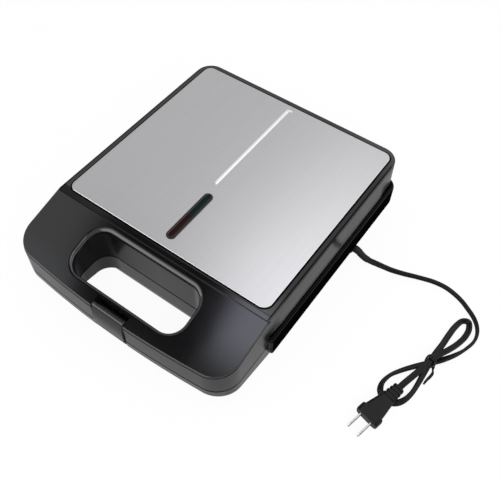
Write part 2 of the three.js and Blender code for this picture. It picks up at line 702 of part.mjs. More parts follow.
function baseShell() {
  const high = SEAM_Z - SEAM_GAP / 2;
  const floorTop = BASE_Z + BASE_FLOOR;
  const body = join(tub(0, BASE_Z, high), gripBase());
  const hollow = cut(body, tub(WALL, floorTop, high - DECK_T), plateHole(high - DECK_T - GAP, REACH));
  const plateLow = SEAM_Z - LAND_GAP / 2 - PLATE_SKIN - GAP;
  const posts = corners(POST_X, POST_Y).map(([x, y]) => rod(POST_R, x, y, floorTop - GAP, plateLow, 12));
  const standoffTop = reflectorZ(-1) - REFLECTOR_T - GAP;
  const standoffs = corners(STANDOFF_X, STANDOFF_Y)
    .map(([x, y]) => rod(STANDOFF_R, x, y, floorTop - GAP, standoffTop, 12));
  const whole = join(hollow, baseRail(high), ...baseKnuckles(), ...posts, ...standoffs);
  const footRoom = [FOOT_R * FOOT_TOP_SHARE + GAP * 2, BASE_Z + FOOT_SEAT + GAP];
  return cut(
    whole,
    prism(windowOutline(0), -REACH, REACH),
    ...catchRecess(),
    ...hingeBores(),
    ...corners(POST_X, POST_Y).map(([x, y]) => rod(SCREW_R + GAP, x, y, 0, REACH, 8)),
    ...corners(POST_X, POST_Y).map(([x, y]) => rod(SCREW_HEAD_R + GAP, x, y, 0, screwSeat(), 12)),
    ...footPlaces().map(([x, y]) => rod(footRoom[0], x, y, 0, footRoom[1], 16)),
    rodX(ENTRY_R + GAP, CORD_EXIT_Y, CORD_EXIT_Z, HALF_W - BLOCK_IN, HALF_W + BLOCK_IN),
  );
}

const screwSeat = () => BASE_Z + SCREW_HEAD_H;

function footPlaces() {
  const x = HALF_W - FOOT_INSET_X;
  return [WINDOW_BACK + FOOT_INSET_Y, BACK_Y - FOOT_INSET_Y].flatMap((y) => [[-x, y], [x, y]]);
}

const foot = ([x, y]) => rod(FOOT_R, x, y, 0, BASE_Z + FOOT_SEAT, 16, FOOT_R * FOOT_TOP_SHARE);

function baseScrew([x, y]) {
  const high = SEAM_Z - LAND_GAP / 2 - PLATE_SKIN + SCREW_BITE;
  const headLow = screwSeat() - SCREW_HEAD_H + GAP;
  const head = rod(SCREW_HEAD_R, x, y, headLow, screwSeat() - GAP, 12);
  return join(rod(SCREW_R, x, y, headLow, high, 8), head);
}

function lidScrew([x, y]) {
  const seat = SEAM_Z + LAND_GAP / 2 + PLATE_SKIN + GAP + BRACKET_T;
  const low = SEAM_Z + LAND_GAP / 2 + PLATE_SKIN - SCREW_BITE;
  const headTop = seat + GAP + SCREW_HEAD_H;
  return join(rod(SCREW_R, x, y, low, headTop, 8), rod(SCREW_HEAD_R, x, y, seat + GAP, headTop, 12));
}

// Baking plates. side is -1 for the lower plate and 1 for the upper; h is the height off the land.

const fromSeam = (side, h) => SEAM_Z + side * (LAND_GAP / 2 + h);
const plateBack = (side) => fromSeam(side, CAVITY_DEPTH + CAVITY_FLOOR);
const heaterZ = (side) => plateBack(side) + side * (GAP + HEATER_R);
const reflectorZ = (side) => plateBack(side) + side * (REFLECTOR_DROP + HEATER_R);

function heartOutline(inset) {
  const radius = HEART_LOBE_R - inset;
  const reach = HEART_LOBE_R + HEART_LOBE_OFF * Math.cos(HEART_ANGLE);
  const centre = HEART_POINT + reach / Math.sin(HEART_ANGLE);
  const tip = HEART_POINT + inset / Math.sin(HEART_ANGLE);
  const notch = THREE.MathUtils.radToDeg(Math.asin(HEART_LOBE_OFF / radius));
  const tangent = QUARTER_TURN + THREE.MathUtils.radToDeg(HEART_ANGLE);
  const left = arc(centre, HEART_LOBE_OFF, radius, -notch, tangent, 9);
  const right = arc(centre, -HEART_LOBE_OFF, radius, -tangent, notch, 9);
  return [[tip, 0], ...right, ...left.slice(1)];
}

function turned(points, index) {
  const angle = Math.PI / 2 + index * 2 * Math.PI / HEARTS;
  const [c, s] = [Math.cos(angle), Math.sin(angle)];
  return points.map(([u, v]) => [u * c - v * s, PLATE_Y + u * s + v * c]);
}

function insideOutline([x, y], outline) {
  let inside = false;
  outline.forEach(([ax, ay], i) => {
    const [bx, by] = outline[(i + 1) % outline.length];
    if ((ay > y) !== (by > y) && x < (bx - ax) * (y - ay) / (by - ay) + ax) inside = !inside;
  });
  return inside;
}

const SQUARE_SHARES = [[-1, -1], [1, -1], [1, 1], [-1, 1]];
const square = (u, v, half) => SQUARE_SHARES.map(([a, b]) => [u + a * half, v + b * half]);

function studPlaces() {
  const floor = heartOutline(CAVITY_DRAFT + STUD_CLEAR);
  const places = [];
  for (let u = GRID_FIRST; u < PLATE_HALF_W; u += GRID_PITCH) {
    for (let row = -GRID_ROWS; row <= GRID_ROWS; row += 1) {
      const v = row * GRID_PITCH;
      const ends = square(u, v, STUD_BASE);
      const middles = ends.map(([a, b], i) => {
        const [nextA, nextB] = ends[(i + 1) % ends.length];
        return [(a + nextA) / 2, (b + nextB) / 2];
      });
      if ([...ends, ...middles].every((point) => insideOutline(point, floor))) places.push([u, v]);
    }
  }
  return places;
}

function bakingPlate(side) {
  const z = (h) => fromSeam(side, h);
  const x = PLATE_HALF_W;
  const outline = roundedRect(-x, x, PLATE_Y - PLATE_HALF_D, PLATE_Y + PLATE_HALF_D, PLATE_R, 4);
  const stacked = (rings) => skin(side < 0 ? rings.reverse() : rings);
  const parts = [prism(outline, z(0), z(PLATE_SKIN))];
  const cavities = [];
  const studs = [];
  const sink = CAVITY_FLOOR / 3;
  for (let i = 0; i < HEARTS; i += 1) {
    const heart = (inset) => turned(heartOutline(inset), i);
    parts.push(stacked([at(heart(-PAN_WALL), z(PLATE_SKIN / 2)),
      at(heart(CAVITY_DRAFT - PAN_WALL), z(CAVITY_DEPTH + CAVITY_FLOOR))]));
    cavities.push(stacked([at(heart(-CAVITY_DRAFT / 3), z(-2 * CAVITY_DRAFT)), at(heart(0), z(0)),
      at(heart(CAVITY_DRAFT), z(CAVITY_DEPTH))]));
    studPlaces().forEach(([u, v]) => studs.push(stacked([
      at(turned(square(u, v, STUD_TOP), i), z(CAVITY_DEPTH - STUD_H)),
      at(turned(square(u, v, STUD_BASE), i), z(CAVITY_DEPTH)),
      at(turned(square(u, v, STUD_BASE), i), z(CAVITY_DEPTH + sink)),
    ])));
  }
  const bores = corners(POST_X, POST_Y).map(([px, py]) => {
    const ends = [z(PLATE_SKIN - SCREW_BITE - GAP), z(PLATE_SKIN + GAP)].sort((a, b) => a - b);
    return rod(SCREW_R + GAP, px, py, ends[0], ends[1], 8);
  });
  return cut(join(cut(join(...parts), ...cavities), ...studs), ...bores);
}

// Heater: a bent rod that nearly closes a ring, its two tails going back.
function heater(side) {
  const z = heaterZ(side);
  const open = THREE.MathUtils.radToDeg(Math.asin(HEATER_TAIL_X / HEATER_RING_R));
  const from = QUARTER_TURN + open;
  const ring = arc(0, PLATE_Y, HEATER_RING_R, from, from + FULL_TURN - 2 * open, 28);
  const tail = (x, y) => [[x, y + HEATER_TAIL], [x, y + HEATER_TAIL / 2]];
  const route = [...tail(...ring[0]), ...ring, ...tail(...ring[ring.length - 1]).reverse()];
  return sweep(route.map(([x, y]) => [x, y, z, 0]), circle(HEATER_R, 8));
}

function circle(radius, sides) {
  const angles = Array.from({ length: sides }).map((_, i) => 2 * Math.PI * i / sides);
  return angles.map((angle) => [radius * Math.cos(angle), radius * Math.sin(angle)]);
}

// Rings of a section along [x, y, z, roll] points; the section's first axis lies flat at roll 0.
function sectionRings(route, section) {
  const points = route.map(([x, y, z]) => new THREE.Vector3(x, y, z));
  return points.map((point, i) => {
    const ahead = points[Math.min(i + 1, points.length - 1)];
    const behind = points[Math.max(i - 1, 0)];
    const along = ahead.clone().sub(behind).normalize();
    const across = new THREE.Vector3(0, 0, 1).cross(along).normalize();
    const up = along.clone().cross(across);
    const roll = route[i][3] * Math.PI / 2;
    const first = across.clone().multiplyScalar(Math.cos(roll)).addScaledVector(up, Math.sin(roll));
    const second = along.clone().cross(first);
    const placed = ([a, b]) => point.clone().addScaledVector(first, a).addScaledVector(second, b);
    return section.map((corner) => placed(corner).toArray());
  });
}

const sweep = (route, section) => skin(sectionRings(route, section), { convex: true });

function reflector(side) {
  const z = reflectorZ(side);
  const tray = (inset) => roundedRect(
    inset - REFLECTOR_HALF_W, REFLECTOR_HALF_W - inset,
    PLATE_Y - REFLECTOR_HALF_D + inset, PLATE_Y + REFLECTOR_HALF_D - inset, REFLECTOR_R - inset, 4,
  );
  const ends = [z + side * REFLECTOR_T, z - side * REFLECTOR_EDGE].sort((a, b) => a - b);
  const inner = [z, z - side * REFLECTOR_EDGE * 2].sort((a, b) => a - b);
  return cut(prism(tray(0), ...ends), prism(tray(REFLECTOR_T), ...inner));
}

function thermostat() {
  const high = plateBack(-1) - GAP;
  const low = high - THERMOSTAT_H;
  const body = box(-THERMOSTAT_HALF_W, THERMOSTAT_HALF_W, PLATE_Y - THERMOSTAT_HALF_D,
    PLATE_Y + THERMOSTAT_HALF_D, low, high - THERMOSTAT_H / 4);
  return join(body, rod(THERMOSTAT_HALF_D, 0, PLATE_Y, low, high, 20));
}

function thermalFuse() {
  const z = plateBack(1) + GAP + FUSE_R;
  return rodX(FUSE_R, PLATE_Y + FUSE_Y, z, -FUSE_HALF, FUSE_HALF, 14);
}

// Steel panel and indicator

function slotOutline(inset) {
  const half = BEZEL_HALF_W - inset;
  return roundedRect(BEZEL_X - half, BEZEL_X + half, BEZEL_FRONT + inset, BEZEL_BACK - inset, half, 7);
}

function steelPanel() {
  const low = PANEL_TOP - PANEL_SKIRT;
  const outer = skin([
    at(panelOutline(0), low), at(panelOutline(0), PANEL_TOP - PANEL_EDGE),
    at(panelOutline(PANEL_EDGE / 3), PANEL_TOP - PANEL_EDGE / 3), at(panelOutline(PANEL_EDGE), PANEL_TOP),
  ]);
  const hollow = prism(panelOutline(PANEL_SHEET), low - GAP, PANEL_TOP - PANEL_SHEET);
  return cut(join(cut(outer, hollow), bead()), prism(slotOutline(BEZEL_RIM / 2 - GAP), 0, REACH));
}

// The raised line along the middle of the panel, with its small bend at the back.
function bead() {
  const half = BEAD_W / 2;
  const top = PANEL_TOP + BEAD_H;
  const low = PANEL_TOP - PANEL_SHEET / 2;
  const line = (inset) => roundedRect(BEAD_X - half + inset, BEAD_X + half - inset, BEAD_FRONT + inset,
    BEAD_BACK - inset, half - inset, 5);
  const bend = (inset) => roundedRect(BEAD_X - half + inset, BEAD_X + half + BEAD_HOOK - inset,
    BEAD_BACK - BEAD_W + inset, BEAD_BACK - inset, half - inset, 5);
  const raised = (outline) => skin([
    at(outline(0), low), at(outline(0), PANEL_TOP), at(outline(BEAD_H * 2), top),
  ]);
  return join(raised(line), raised(bend));
}

function bezel() {
  const top = PANEL_TOP + BEZEL_PROUD;
  const low = PANEL_TOP - BEZEL_DEPTH;
  const flange = skin([
    at(slotOutline(0), PANEL_TOP + GAP),
    at(slotOutline(BEZEL_RIM / 4), top),
    at(slotOutline(BEZEL_RIM / 2), top),
  ]);
  const body = prism(slotOutline(BEZEL_RIM / 2), low, top);
  return cut(join(flange, body), prism(slotOutline(BEZEL_RIM), 0, REACH));
}

function lens(back) {
  const top = PANEL_TOP + BEZEL_PROUD - LENS_SINK;
  const middle = (BEZEL_FRONT + BEZEL_BACK) / 2;
  const [from, to] = back ? [middle + GAP / 2, REACH] : [-REACH, middle - GAP / 2];
  const half = box(-REACH, REACH, from, to, 0, REACH);
  const outline = (inset) => slotOutline(BEZEL_RIM + GAP + inset);
  const body = skin([
    at(outline(0), top - LENS_DEPTH), at(outline(0), top - LENS_SINK), at(outline(LENS_SINK), top),
  ]);
  return body.intersect(half);
}

const lampPlace = (back) => {
  const length = BEZEL_BACK - BEZEL_FRONT;
  return [BEZEL_X, back ? BEZEL_BACK - LAMP_SHARE * length : BEZEL_FRONT + LAMP_SHARE * length];
};

function lampHolder() {
  const high = PANEL_TOP - BEZEL_DEPTH - GAP;
  const [left, right] = [BEZEL_X - HOLDER_HALF_W, BEZEL_X + HOLDER_HALF_W];
  const outline = roundedRect(left, right, BEZEL_FRONT, BEZEL_BACK, HOLDER_HALF_W, 5);
  const body = prism(outline, high - HOLDER_H, high);
  const wellLow = high - LAMP_SINK - GAP;
  const well = (back) => rod(LAMP_R + GAP, ...lampPlace(back), wellLow, REACH, 12);
  return cut(body, well(false), well(true));
}

function lamp(back) {
  const low = PANEL_TOP - BEZEL_DEPTH - GAP - LAMP_SINK;
  return rod(LAMP_R, ...lampPlace(back), low, low + LAMP_H - LAMP_R, 12, LAMP_R * LAMP_TOP_SHARE);
}

// Latch

const LATCH_CURVE_SHARES = [[0, 0], [0.08, 0.5], [0.2, 0.82], [0.36, 1], [0.52, 0.95], [0.68, 0.62],
  [0.84, -0.1]];

function latchClip() {
  const height = LATCH_TOP - LATCH_LOW;
  const front = LATCH_CURVE_SHARES
    .map(([up, out]) => [-LATCH_FRONT - out * LATCH_BULGE, LATCH_LOW + up * height]);
  const crestY = LATCH_PIVOT_Y - LATCH_HUB_R / 2;
  const crest = [[crestY - LATCH_CREST, LATCH_TOP - LATCH_SKIN / 3], [crestY - LATCH_SKIN / 2, LATCH_TOP],
    [crestY, LATCH_TOP - LATCH_SKIN / 4]];
  const inner = -LATCH_FRONT + LATCH_SKIN;
  const tooth = CATCH_Y - GAP;
  const back = [
    [crestY + LATCH_SKIN / 4, LATCH_PIVOT_Z + LATCH_HUB_R / 2],
    [crestY, LATCH_PIVOT_Z - LATCH_HUB_R], [inner - GAP, LATCH_PIVOT_Z - LATCH_HUB_R * 2],
    [inner - GAP, CATCH_Z + TOOTH], [tooth, CATCH_Z - GAP], [tooth, LATCH_LOW + TOOTH / 2],
    [tooth - TOOTH / 2, LATCH_LOW],
  ];
  const outline = [...front, ...crest, ...back];
  const rings = [
    [-LATCH_HALF_W, LATCH_BEVEL], [LATCH_BEVEL / 3 - LATCH_HALF_W, LATCH_BEVEL / 3],
    [LATCH_BEVEL - LATCH_HALF_W, 0], [LATCH_HALF_W - LATCH_BEVEL, 0],
    [LATCH_HALF_W - LATCH_BEVEL / 3, LATCH_BEVEL / 3], [LATCH_HALF_W, LATCH_BEVEL],
  ];
  const shrunk = ([y, z], by) => [
    y < LATCH_SKIN / 2 - LATCH_FRONT ? y + by : y,
    z > LATCH_TOP - LATCH_SKIN ? z - by / 2 : z,
  ];
  const body = skinX(rings.map(([x, by]) => outline.map((point) => [...shrunk(point, by), x])));
  const hubEnd = LATCH_HALF_W - LATCH_BEVEL;
  const hub = rodX(LATCH_HUB_R, LATCH_PIVOT_Y, LATCH_PIVOT_Z, -hubEnd, hubEnd);
  return cut(join(body, hub), rodX(LATCH_PIN_R + GAP, LATCH_PIVOT_Y, LATCH_PIVOT_Z, -REACH, REACH, 16));
}

// Cord entry and terminals

function cordEntry() {
  const outside = HALF_W - ENTRY_OUT;
  const inside = HALF_W - ENTRY_IN;
  const axis = [CORD_EXIT_Y, CORD_EXIT_Z];
  return join(
    rodX(ENTRY_R, ...axis, inside - ENTRY_FLANGE_T, outside + ENTRY_FLANGE_T / 2),
    rodX(ENTRY_FLANGE_R, ...axis, outside, outside + ENTRY_FLANGE_T),
    rodX(ENTRY_INNER_R, ...axis, inside - ENTRY_FLANGE_T, inside),
  );
}

const cordStart = () => HALF_W - ENTRY_OUT + ENTRY_FLANGE_T + GAP;

function terminalBlock() {
  const x = HALF_W - BLOCK_IN - BLOCK_HALF_W;
  const low = BASE_Z + BASE_FLOOR + GAP;
  const [front, back] = [CORD_EXIT_Y - BLOCK_HALF_D, CORD_EXIT_Y + BLOCK_HALF_D];
  const body = box(x - BLOCK_HALF_W, x + BLOCK_HALF_W, front, back, low, low + BLOCK_H);
  const wells = [-BLOCK_HALF_D / 2, BLOCK_HALF_D / 2]
    .map((off) => rod(SCREW_HEAD_R, x, CORD_EXIT_Y + off, low + BLOCK_H / 2, REACH, 12));
  return cut(body, ...wells);
}

// The cord's flat section, as shares of its half width and half thickness.
const CORD_SECTION_SHARES = [[1, 0], [0.85, 0.8], [0.34, 1], [-0.34, 1], [-0.85, 0.8], [-1, 0],
  [-0.85, -0.8], [-0.34, -1], [0.34, -1], [0.85, -0.8]];

const cordSection = () => CORD_SECTION_SHARES
  .map(([wide, thick]) => [wide * CORD_W / 2, thick * CORD_T / 2]);

// The plug's own frame: x across, s along it from the cord's end to the face, z up.
function plugPlace(x, s, z) {
  const [dx, dy] = PLUG_DIR;
  const along = new THREE.Vector3(dx, dy, -PLUG_TILT_SHARE).normalize();
  const across = new THREE.Vector3(-dy, dx, 0).negate().normalize();
  const up = across.clone().cross(along);
  const point = new THREE.Vector3(...PLUG_AT).addScaledVector(across, x).addScaledVector(along, s);
  return point.addScaledVector(up, z).toArray();
}

function cordRoute() {
  const start = [0, CORD_T, CORD_W].map((x) => [cordStart() + x, CORD_EXIT_Y, CORD_EXIT_Z, 0]);
  const tie = (level) => [...TIE_AT, TIE_Z[level], 0];
  const end = [-GAP - CORD_W, -GAP].map((s) => [...plugPlace(0, s, 0), 0]);
  const lead = [...start, ...ROUTE_LEAD, tie(0)];
  const bow = [...ROUTE_LOW_LOOP, tie(1), ...ROUTE_HIGH_LOOP, tie(2)];
  return [...lead, ...bow, ...ROUTE_TAIL, ...end];
}

// Even steps along one smooth curve through the route; roll changes evenly between its points.
function smoothRoute(points, step) {
  const curve = new THREE.CatmullRomCurve3(points.map(([x, y, z]) => new THREE.Vector3(x, y, z)));
  const knots = points.length - 1;
  const dense = Array.from({ length: knots * FINE_STEPS + 1 }).map((_, i) => {
    const knot = Math.min(Math.floor(i / FINE_STEPS), knots - 1);
    const within = i / FINE_STEPS - knot;
    const roll = points[knot][3] + (points[knot + 1][3] - points[knot][3]) * within;
    return { point: curve.getPoint(i / (knots * FINE_STEPS)), roll };
  });
  let length = 0;
  dense.forEach((d, i) => {
    if (i > 0) length += d.point.distanceTo(dense[i - 1].point);
    d.at = length;
  });
  const steps = Math.ceil(length / step);
  let cursor = 0;
  const even = Array.from({ length: steps + 1 }).map((_, i) => {
    const goal = length * i / steps;
    while (cursor + 2 < dense.length && dense[cursor + 1].at < goal) cursor += 1;
    const [a, b] = [dense[cursor], dense[cursor + 1]];
    const share = THREE.MathUtils.clamp((goal - a.at) / (b.at - a.at), 0, 1);
    return [...a.point.clone().lerp(b.point, share).toArray(), a.roll + (b.roll - a.roll) * share];
  });
  return { even, length };
}

// The stretch of a fine route between two distances along it, in even steps.
function stretch(fine, length, from, to, steps) {
  const count = fine.length - 1;
  return Array.from({ length: steps + 1 }).map((_, i) => {
    const where = (from + (to - from) * i / steps) / length * count;
    const low = Math.min(Math.floor(where), count - 1);
    return fine[low].map((value, k) => value + (fine[low + 1][k] - value) * (where - low));
  });
}

// How far along the route its strand passes the middle of the tie at one level.
function tieDistance(fine, length, level) {
  const gaps = fine.map(([x, y, z]) => Math.hypot(x - TIE_AT[0], y - TIE_AT[1], z - TIE_Z[level]));
  return gaps.indexOf(Math.min(...gaps)) / (fine.length - 1) * length;
}

// Least distance between the skins of two strands of one tube that are apart along it.
function leastSelfGap(route, section, apart) {
  const rings = sectionRings(route, section);
  let least = Infinity;
  for (let i = 0; i < rings.length; i += 1) {
    for (let j = i + apart; j < rings.length; j += 1) {
      const near = Math.hypot(...[0, 1, 2].map((k) => route[i][k] - route[j][k]));
      if (near > least + CORD_W * 2) continue;
      rings[i].forEach((a) => rings[j].forEach((b) => {
        least = Math.min(least, Math.hypot(a[0] - b[0], a[1] - b[1], a[2] - b[2]));
      }));
    }
  }
  return least;
}

function cordPieces() {
  const { even: fine, length } = smoothRoute(cordRoute(), CORD_T / 3);
  const first = tieDistance(fine, length, 0) - TIE_REACH;
  const last = tieDistance(fine, length, 2) + TIE_REACH;
  const section = cordSection();
  const cuts = [[0, first - GAP / 2, LEAD_STEPS], [first + GAP / 2, last - GAP / 2, BOW_STEPS],
    [last + GAP / 2, length, TAIL_STEPS]];
  const [lead, bow, tail] = cuts.map(([from, to, steps]) => stretch(fine, length, from, to, steps));
  const bowFine = stretch(fine, length, cuts[1][0], cuts[1][1], BOW_STEPS * 6);
  const gap = leastSelfGap(bowFine, section, BOW_STEPS);
  console.log(`cord length ${length.toFixed(1)} mm, least gap of the bow to itself ${gap.toFixed(2)} mm`);
  return { lead: sweep(lead, section), bow: sweep(bow, section), tail: sweep(tail, section) };
}

// Wire tie: up beside the bundle, round it in even turns, and back down in a second tail.
function twistTie() {
  const axis = new THREE.Vector2(...TIE_AXIS).normalize();
  const across = [axis.y, -axis.x];
  const middle = (TIE_Z[0] + TIE_Z[2]) / 2;
  const half = (TIE_Z[2] - TIE_Z[0] + CORD_T) / 2 + TIE_R + TIE_GAP;
  const wide = CORD_W / 2 + TIE_R + TIE_GAP * 2;
  const squared = (value) => Math.sign(value) * Math.sqrt(Math.abs(value));
  const [tieX, tieY] = TIE_AT;
  const local = (a, s, z) => [tieX + across[0] * a + axis.x * s, tieY + across[1] * a + axis.y * s, z, 0];
  const turns = Array.from({ length: TIE_TURNS * TIE_STEPS + 1 }).map((_, i) => {
    const angle = 2 * Math.PI * i / TIE_STEPS;
    const s = TIE_PITCH * (TIE_TURNS / 2 - i / TIE_STEPS);
    return local(wide * squared(Math.cos(angle)), s, middle + half * squared(Math.sin(angle)));
  });
  const tail = (shares, from) => shares.map(([a, s, z]) => (
    local(wide + a * TIE_TAIL, from - s * TIE_TAIL, TIE_R * 2 + z * middle)));
  const up = tail(TIE_UP_SHARES, TIE_PITCH);
  const down = tail(TIE_DOWN_SHARES, -TIE_PITCH * 2);
  const route = [...up, ...turns, ...down];
  console.log(`tie: least gap to itself ${(leastPointGap(route, TIE_STEPS / 3) - 2 * TIE_R).toFixed(2)} mm`);
  return sweep(route, circle(TIE_R, 6));
}

function leastPointGap(route, apart) {
  let least = Infinity;
  route.forEach((a, i) => route.slice(i + apart).forEach((b) => {
    least = Math.min(least, Math.hypot(a[0] - b[0], a[1] - b[1], a[2] - b[2]));
  }));
  return least;
}

// Plug: ribbed relief, widening body and a flanged face with a slot for each blade

function plugRings() {
  const rings = [];
  const pitch = PLUG_RELIEF / PLUG_RIBS;
  const size = (share, from, to) => from + (to - from) * share;
  for (let i = 0; i < PLUG_RIBS; i += 1) {
    RIB_SHARES.forEach(([along, sink]) => {
      const share = (i + along) / PLUG_RIBS;
      const less = sink * PLUG_RIB_DEPTH * 2;
      const wide = size(share, PLUG_REAR_W, PLUG_NECK_W) - less;
      rings.push([(i + along) * pitch, wide, size(share, PLUG_REAR_H, PLUG_NECK_H) - less]);
    });
  }
  rings.push([PLUG_RELIEF, PLUG_NECK_W, PLUG_NECK_H]);
  const waist = PLUG_WAIST_SHARE;
  const waistAt = (PLUG_RELIEF + PLUG_BODY) / 2;
  rings.push([waistAt, size(waist, PLUG_NECK_W, PLUG_BODY_W), size(waist, PLUG_NECK_H, PLUG_BODY_H)]);
  rings.push([PLUG_BODY - PLUG_STEP, PLUG_BODY_W, PLUG_BODY_H]);
  rings.push([PLUG_BODY, PLUG_FLANGE_W - PLUG_STEP, PLUG_FLANGE_H - PLUG_STEP]);
  rings.push([PLUG_BODY + PLUG_STEP, PLUG_FLANGE_W, PLUG_FLANGE_H]);
  rings.push([PLUG_FACE - PLUG_STEP, PLUG_FLANGE_W, PLUG_FLANGE_H]);
  rings.push([PLUG_FACE, PLUG_FLANGE_W - PLUG_STEP * 2, PLUG_FLANGE_H - PLUG_STEP * 2]);
  return rings;
}

function plugBody() {
  const place = ([x, z, s]) => plugPlace(x, s, z);
  const outline = (w, h) => roundedRect(-w / 2, w / 2, -h / 2, h / 2, h * PLUG_ROUND_SHARE, 3);
  const ring = ([s, w, h]) => outline(w, h).map(([x, z]) => [x, z, s]);
  const body = skin(plugRings().map(ring), { place });
  return cut(body, ...bladeSides().map((side) => bladeSolid(side, GAP)));
}

const bladeSides = () => [-BLADE_SPACING / 2, BLADE_SPACING / 2];

function bladeSolid(middle, grow) {
  const high = BLADE_W / 2 + grow;
  const thick = BLADE_T / 2 + grow;
  const from = PLUG_FACE - BLADE_SEAT - grow;
  const to = PLUG_FACE + BLADE_L + grow;
  const outline = [[from, -high], [to - BLADE_TIP, -high], [to, BLADE_TIP - high], [to, high - BLADE_TIP],
    [to - BLADE_TIP, high], [from, high]];
  const place = ([s, z, x]) => plugPlace(x, s, z);
  return skin([middle - thick, middle + thick].map((x) => outline.map(([s, z]) => [s, z, x])), { place });
}

function blade(middle) {
  const place = ([s, z, x]) => plugPlace(x, s, z);
  const hole = circle(BLADE_HOLE_R, 12).map(([s, z]) => [PLUG_FACE + BLADE_HOLE_AT + s, z]);
  const ends = [middle - BLADE_T, middle + BLADE_T];
  const drill = skin(ends.map((x) => hole.map(([s, z]) => [s, z, x])), { place });
  return cut(bladeSolid(middle, 0), drill);
}

const group = new THREE.Group();

function addNode(name, solid, look) {
  const geometry = toGeometry(solid);
  geometry.translate(0, -MIDDLE_Y, 0);
  geometry.computeVertexNormals();
  const mesh = new THREE.Mesh(geometry, new THREE.MeshStandardMaterial(look));
  mesh.name = name;
  group.add(mesh);
}

addNode("base_shell", baseShell(), BLACK);
footPlaces().forEach((place, i) => addNode(`foot_${i + 1}`, foot(place), RUBBER));
const screwPlaces = corners(POST_X, POST_Y);
screwPlaces.forEach((place, i) => addNode(`base_screw_${i + 1}`, baseScrew(place), PLATED));
addNode("lower_waffle_plate", bakingPlate(-1), NONSTICK);
addNode("lower_heater", heater(-1), ALUMINIUM);
addNode("lower_reflector", reflector(-1), ALUMINIUM);
addNode("thermostat", thermostat(), CERAMIC);
addNode("terminal_block", terminalBlock(), CERAMIC);
addNode("cord_entry", cordEntry(), RUBBER);
[-HINGE_X, HINGE_X].forEach((x, i) => {
  const half = LID_KNUCKLE_HALF + RUN_GAP + BASE_KNUCKLE_W;
  addNode(`hinge_pin_${i + 1}`, rodX(HINGE_PIN_R, HINGE_Y, HINGE_Z, x - half, x + half, 24), PLATED);
});
addNode("lead_sleeve", cut(rodX(SLEEVE_R, HINGE_Y, HINGE_Z, -SLEEVE_HALF, SLEEVE_HALF, 24),
  rodX(SLEEVE_BORE_R, HINGE_Y, HINGE_Z, -REACH, REACH, 16)), RUBBER);

const cord = cordPieces();
addNode("cord_lead", cord.lead, RUBBER);
addNode("cord_bow", cord.bow, RUBBER);
addNode("cord_tail", cord.tail, RUBBER);
addNode("twist_tie", twistTie(), RUBBER);
addNode("plug_body", plugBody(), RUBBER);
bladeSides().forEach((middle, i) => addNode(`plug_blade_${i + 1}`, blade(middle), PLATED));

addNode("lid_frame", lidFrame(), BLACK);
addNode("lid_top_cover", lidTopCover(), BLACK);
addNode("steel_panel", steelPanel(), STEEL);
addNode("indicator_bezel", bezel(), GLOSS);
addNode("red_lens", lens(false), RED_GLASS);
addNode("green_lens", lens(true), GREEN_GLASS);
addNode("lamp_holder", lampHolder(), CERAMIC);
addNode("power_lamp", lamp(false), LAMP_GLASS);
addNode("ready_lamp", lamp(true), LAMP_GLASS);
addNode("upper_waffle_plate", bakingPlate(1), NONSTICK);
addNode("upper_heater", heater(1), ALUMINIUM);
addNode("upper_reflector", reflector(1), ALUMINIUM);
addNode("thermal_fuse", thermalFuse(), ALUMINIUM);
screwPlaces.forEach((place, i) => addNode(`lid_screw_${i + 1}`, lidScrew(place), PLATED));
const latchPin = rodX(LATCH_PIN_R, LATCH_PIVOT_Y, LATCH_PIVOT_Z, -LATCH_PIN_HALF, LATCH_PIN_HALF, 16);
addNode("latch_pin", latchPin, PLATED);
addNode("latch_clip", latchClip(), BLACK);

export default group;
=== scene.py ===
import math

import bmesh
import bpy
import numpy as np
from bpy.props import FloatProperty, FloatVectorProperty, IntProperty, PointerProperty
from mathutils import Matrix, Vector


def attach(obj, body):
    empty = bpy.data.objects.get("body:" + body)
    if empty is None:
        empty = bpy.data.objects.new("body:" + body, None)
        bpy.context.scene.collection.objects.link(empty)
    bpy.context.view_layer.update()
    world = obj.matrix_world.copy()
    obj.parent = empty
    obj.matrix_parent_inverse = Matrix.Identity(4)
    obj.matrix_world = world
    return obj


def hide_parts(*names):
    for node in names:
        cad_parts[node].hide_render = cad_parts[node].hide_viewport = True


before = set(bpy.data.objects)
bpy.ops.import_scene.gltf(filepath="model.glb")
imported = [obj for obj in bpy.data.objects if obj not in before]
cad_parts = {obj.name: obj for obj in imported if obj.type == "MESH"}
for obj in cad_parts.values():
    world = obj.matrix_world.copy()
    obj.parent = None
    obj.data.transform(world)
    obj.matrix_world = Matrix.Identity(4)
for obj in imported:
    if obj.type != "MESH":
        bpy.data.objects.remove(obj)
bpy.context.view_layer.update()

bl_info = {
    "name": "Heart Waffle Maker",
    "version": (1, 0, 0),
    "blender": (4, 5, 0),
    "location": "View3D > Sidebar > Waffle Maker",
    "description": "Detailed pieces, finishes and a small studio for the waffle maker",
    "category": "Object",
}

# Sizes are in millimetres in the part's frame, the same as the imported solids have, and MM turns them
# into metres where a mesh is made.
MM = 0.001

# Body outline on the seam, and how it draws in upwards. The rings are the lid's lower edge, as
# [inset, height above the edge], and the notch is a step round the window there.
DRAFT = 0.9
HALF_W = 135.4
BACK_Y = 161.15
BACK_R = 20.5
FRONT_R = 28
FRONT_CORNER_Y = -138.65
FRONT_CORNER_TURN = 84
BOW_R = 1066
BOW_Y = 893.85
SEAM_Z = 38
SEAM_GAP = 0.6
SEAM_GROOVE = 0.9
WALL = 2.6
DECK_T = 2.6
NOTCH = 1
SEAM_RINGS = [
    (1, 0), (1, SEAM_GROOVE), (0.3, SEAM_GROOVE), (0.09, SEAM_GROOVE + 0.09), (0, SEAM_GROOVE + 0.3),
]

# Reach of the pieces that only cut others: past the part on every side, and above it.
FAR = 300
ABOVE = 120

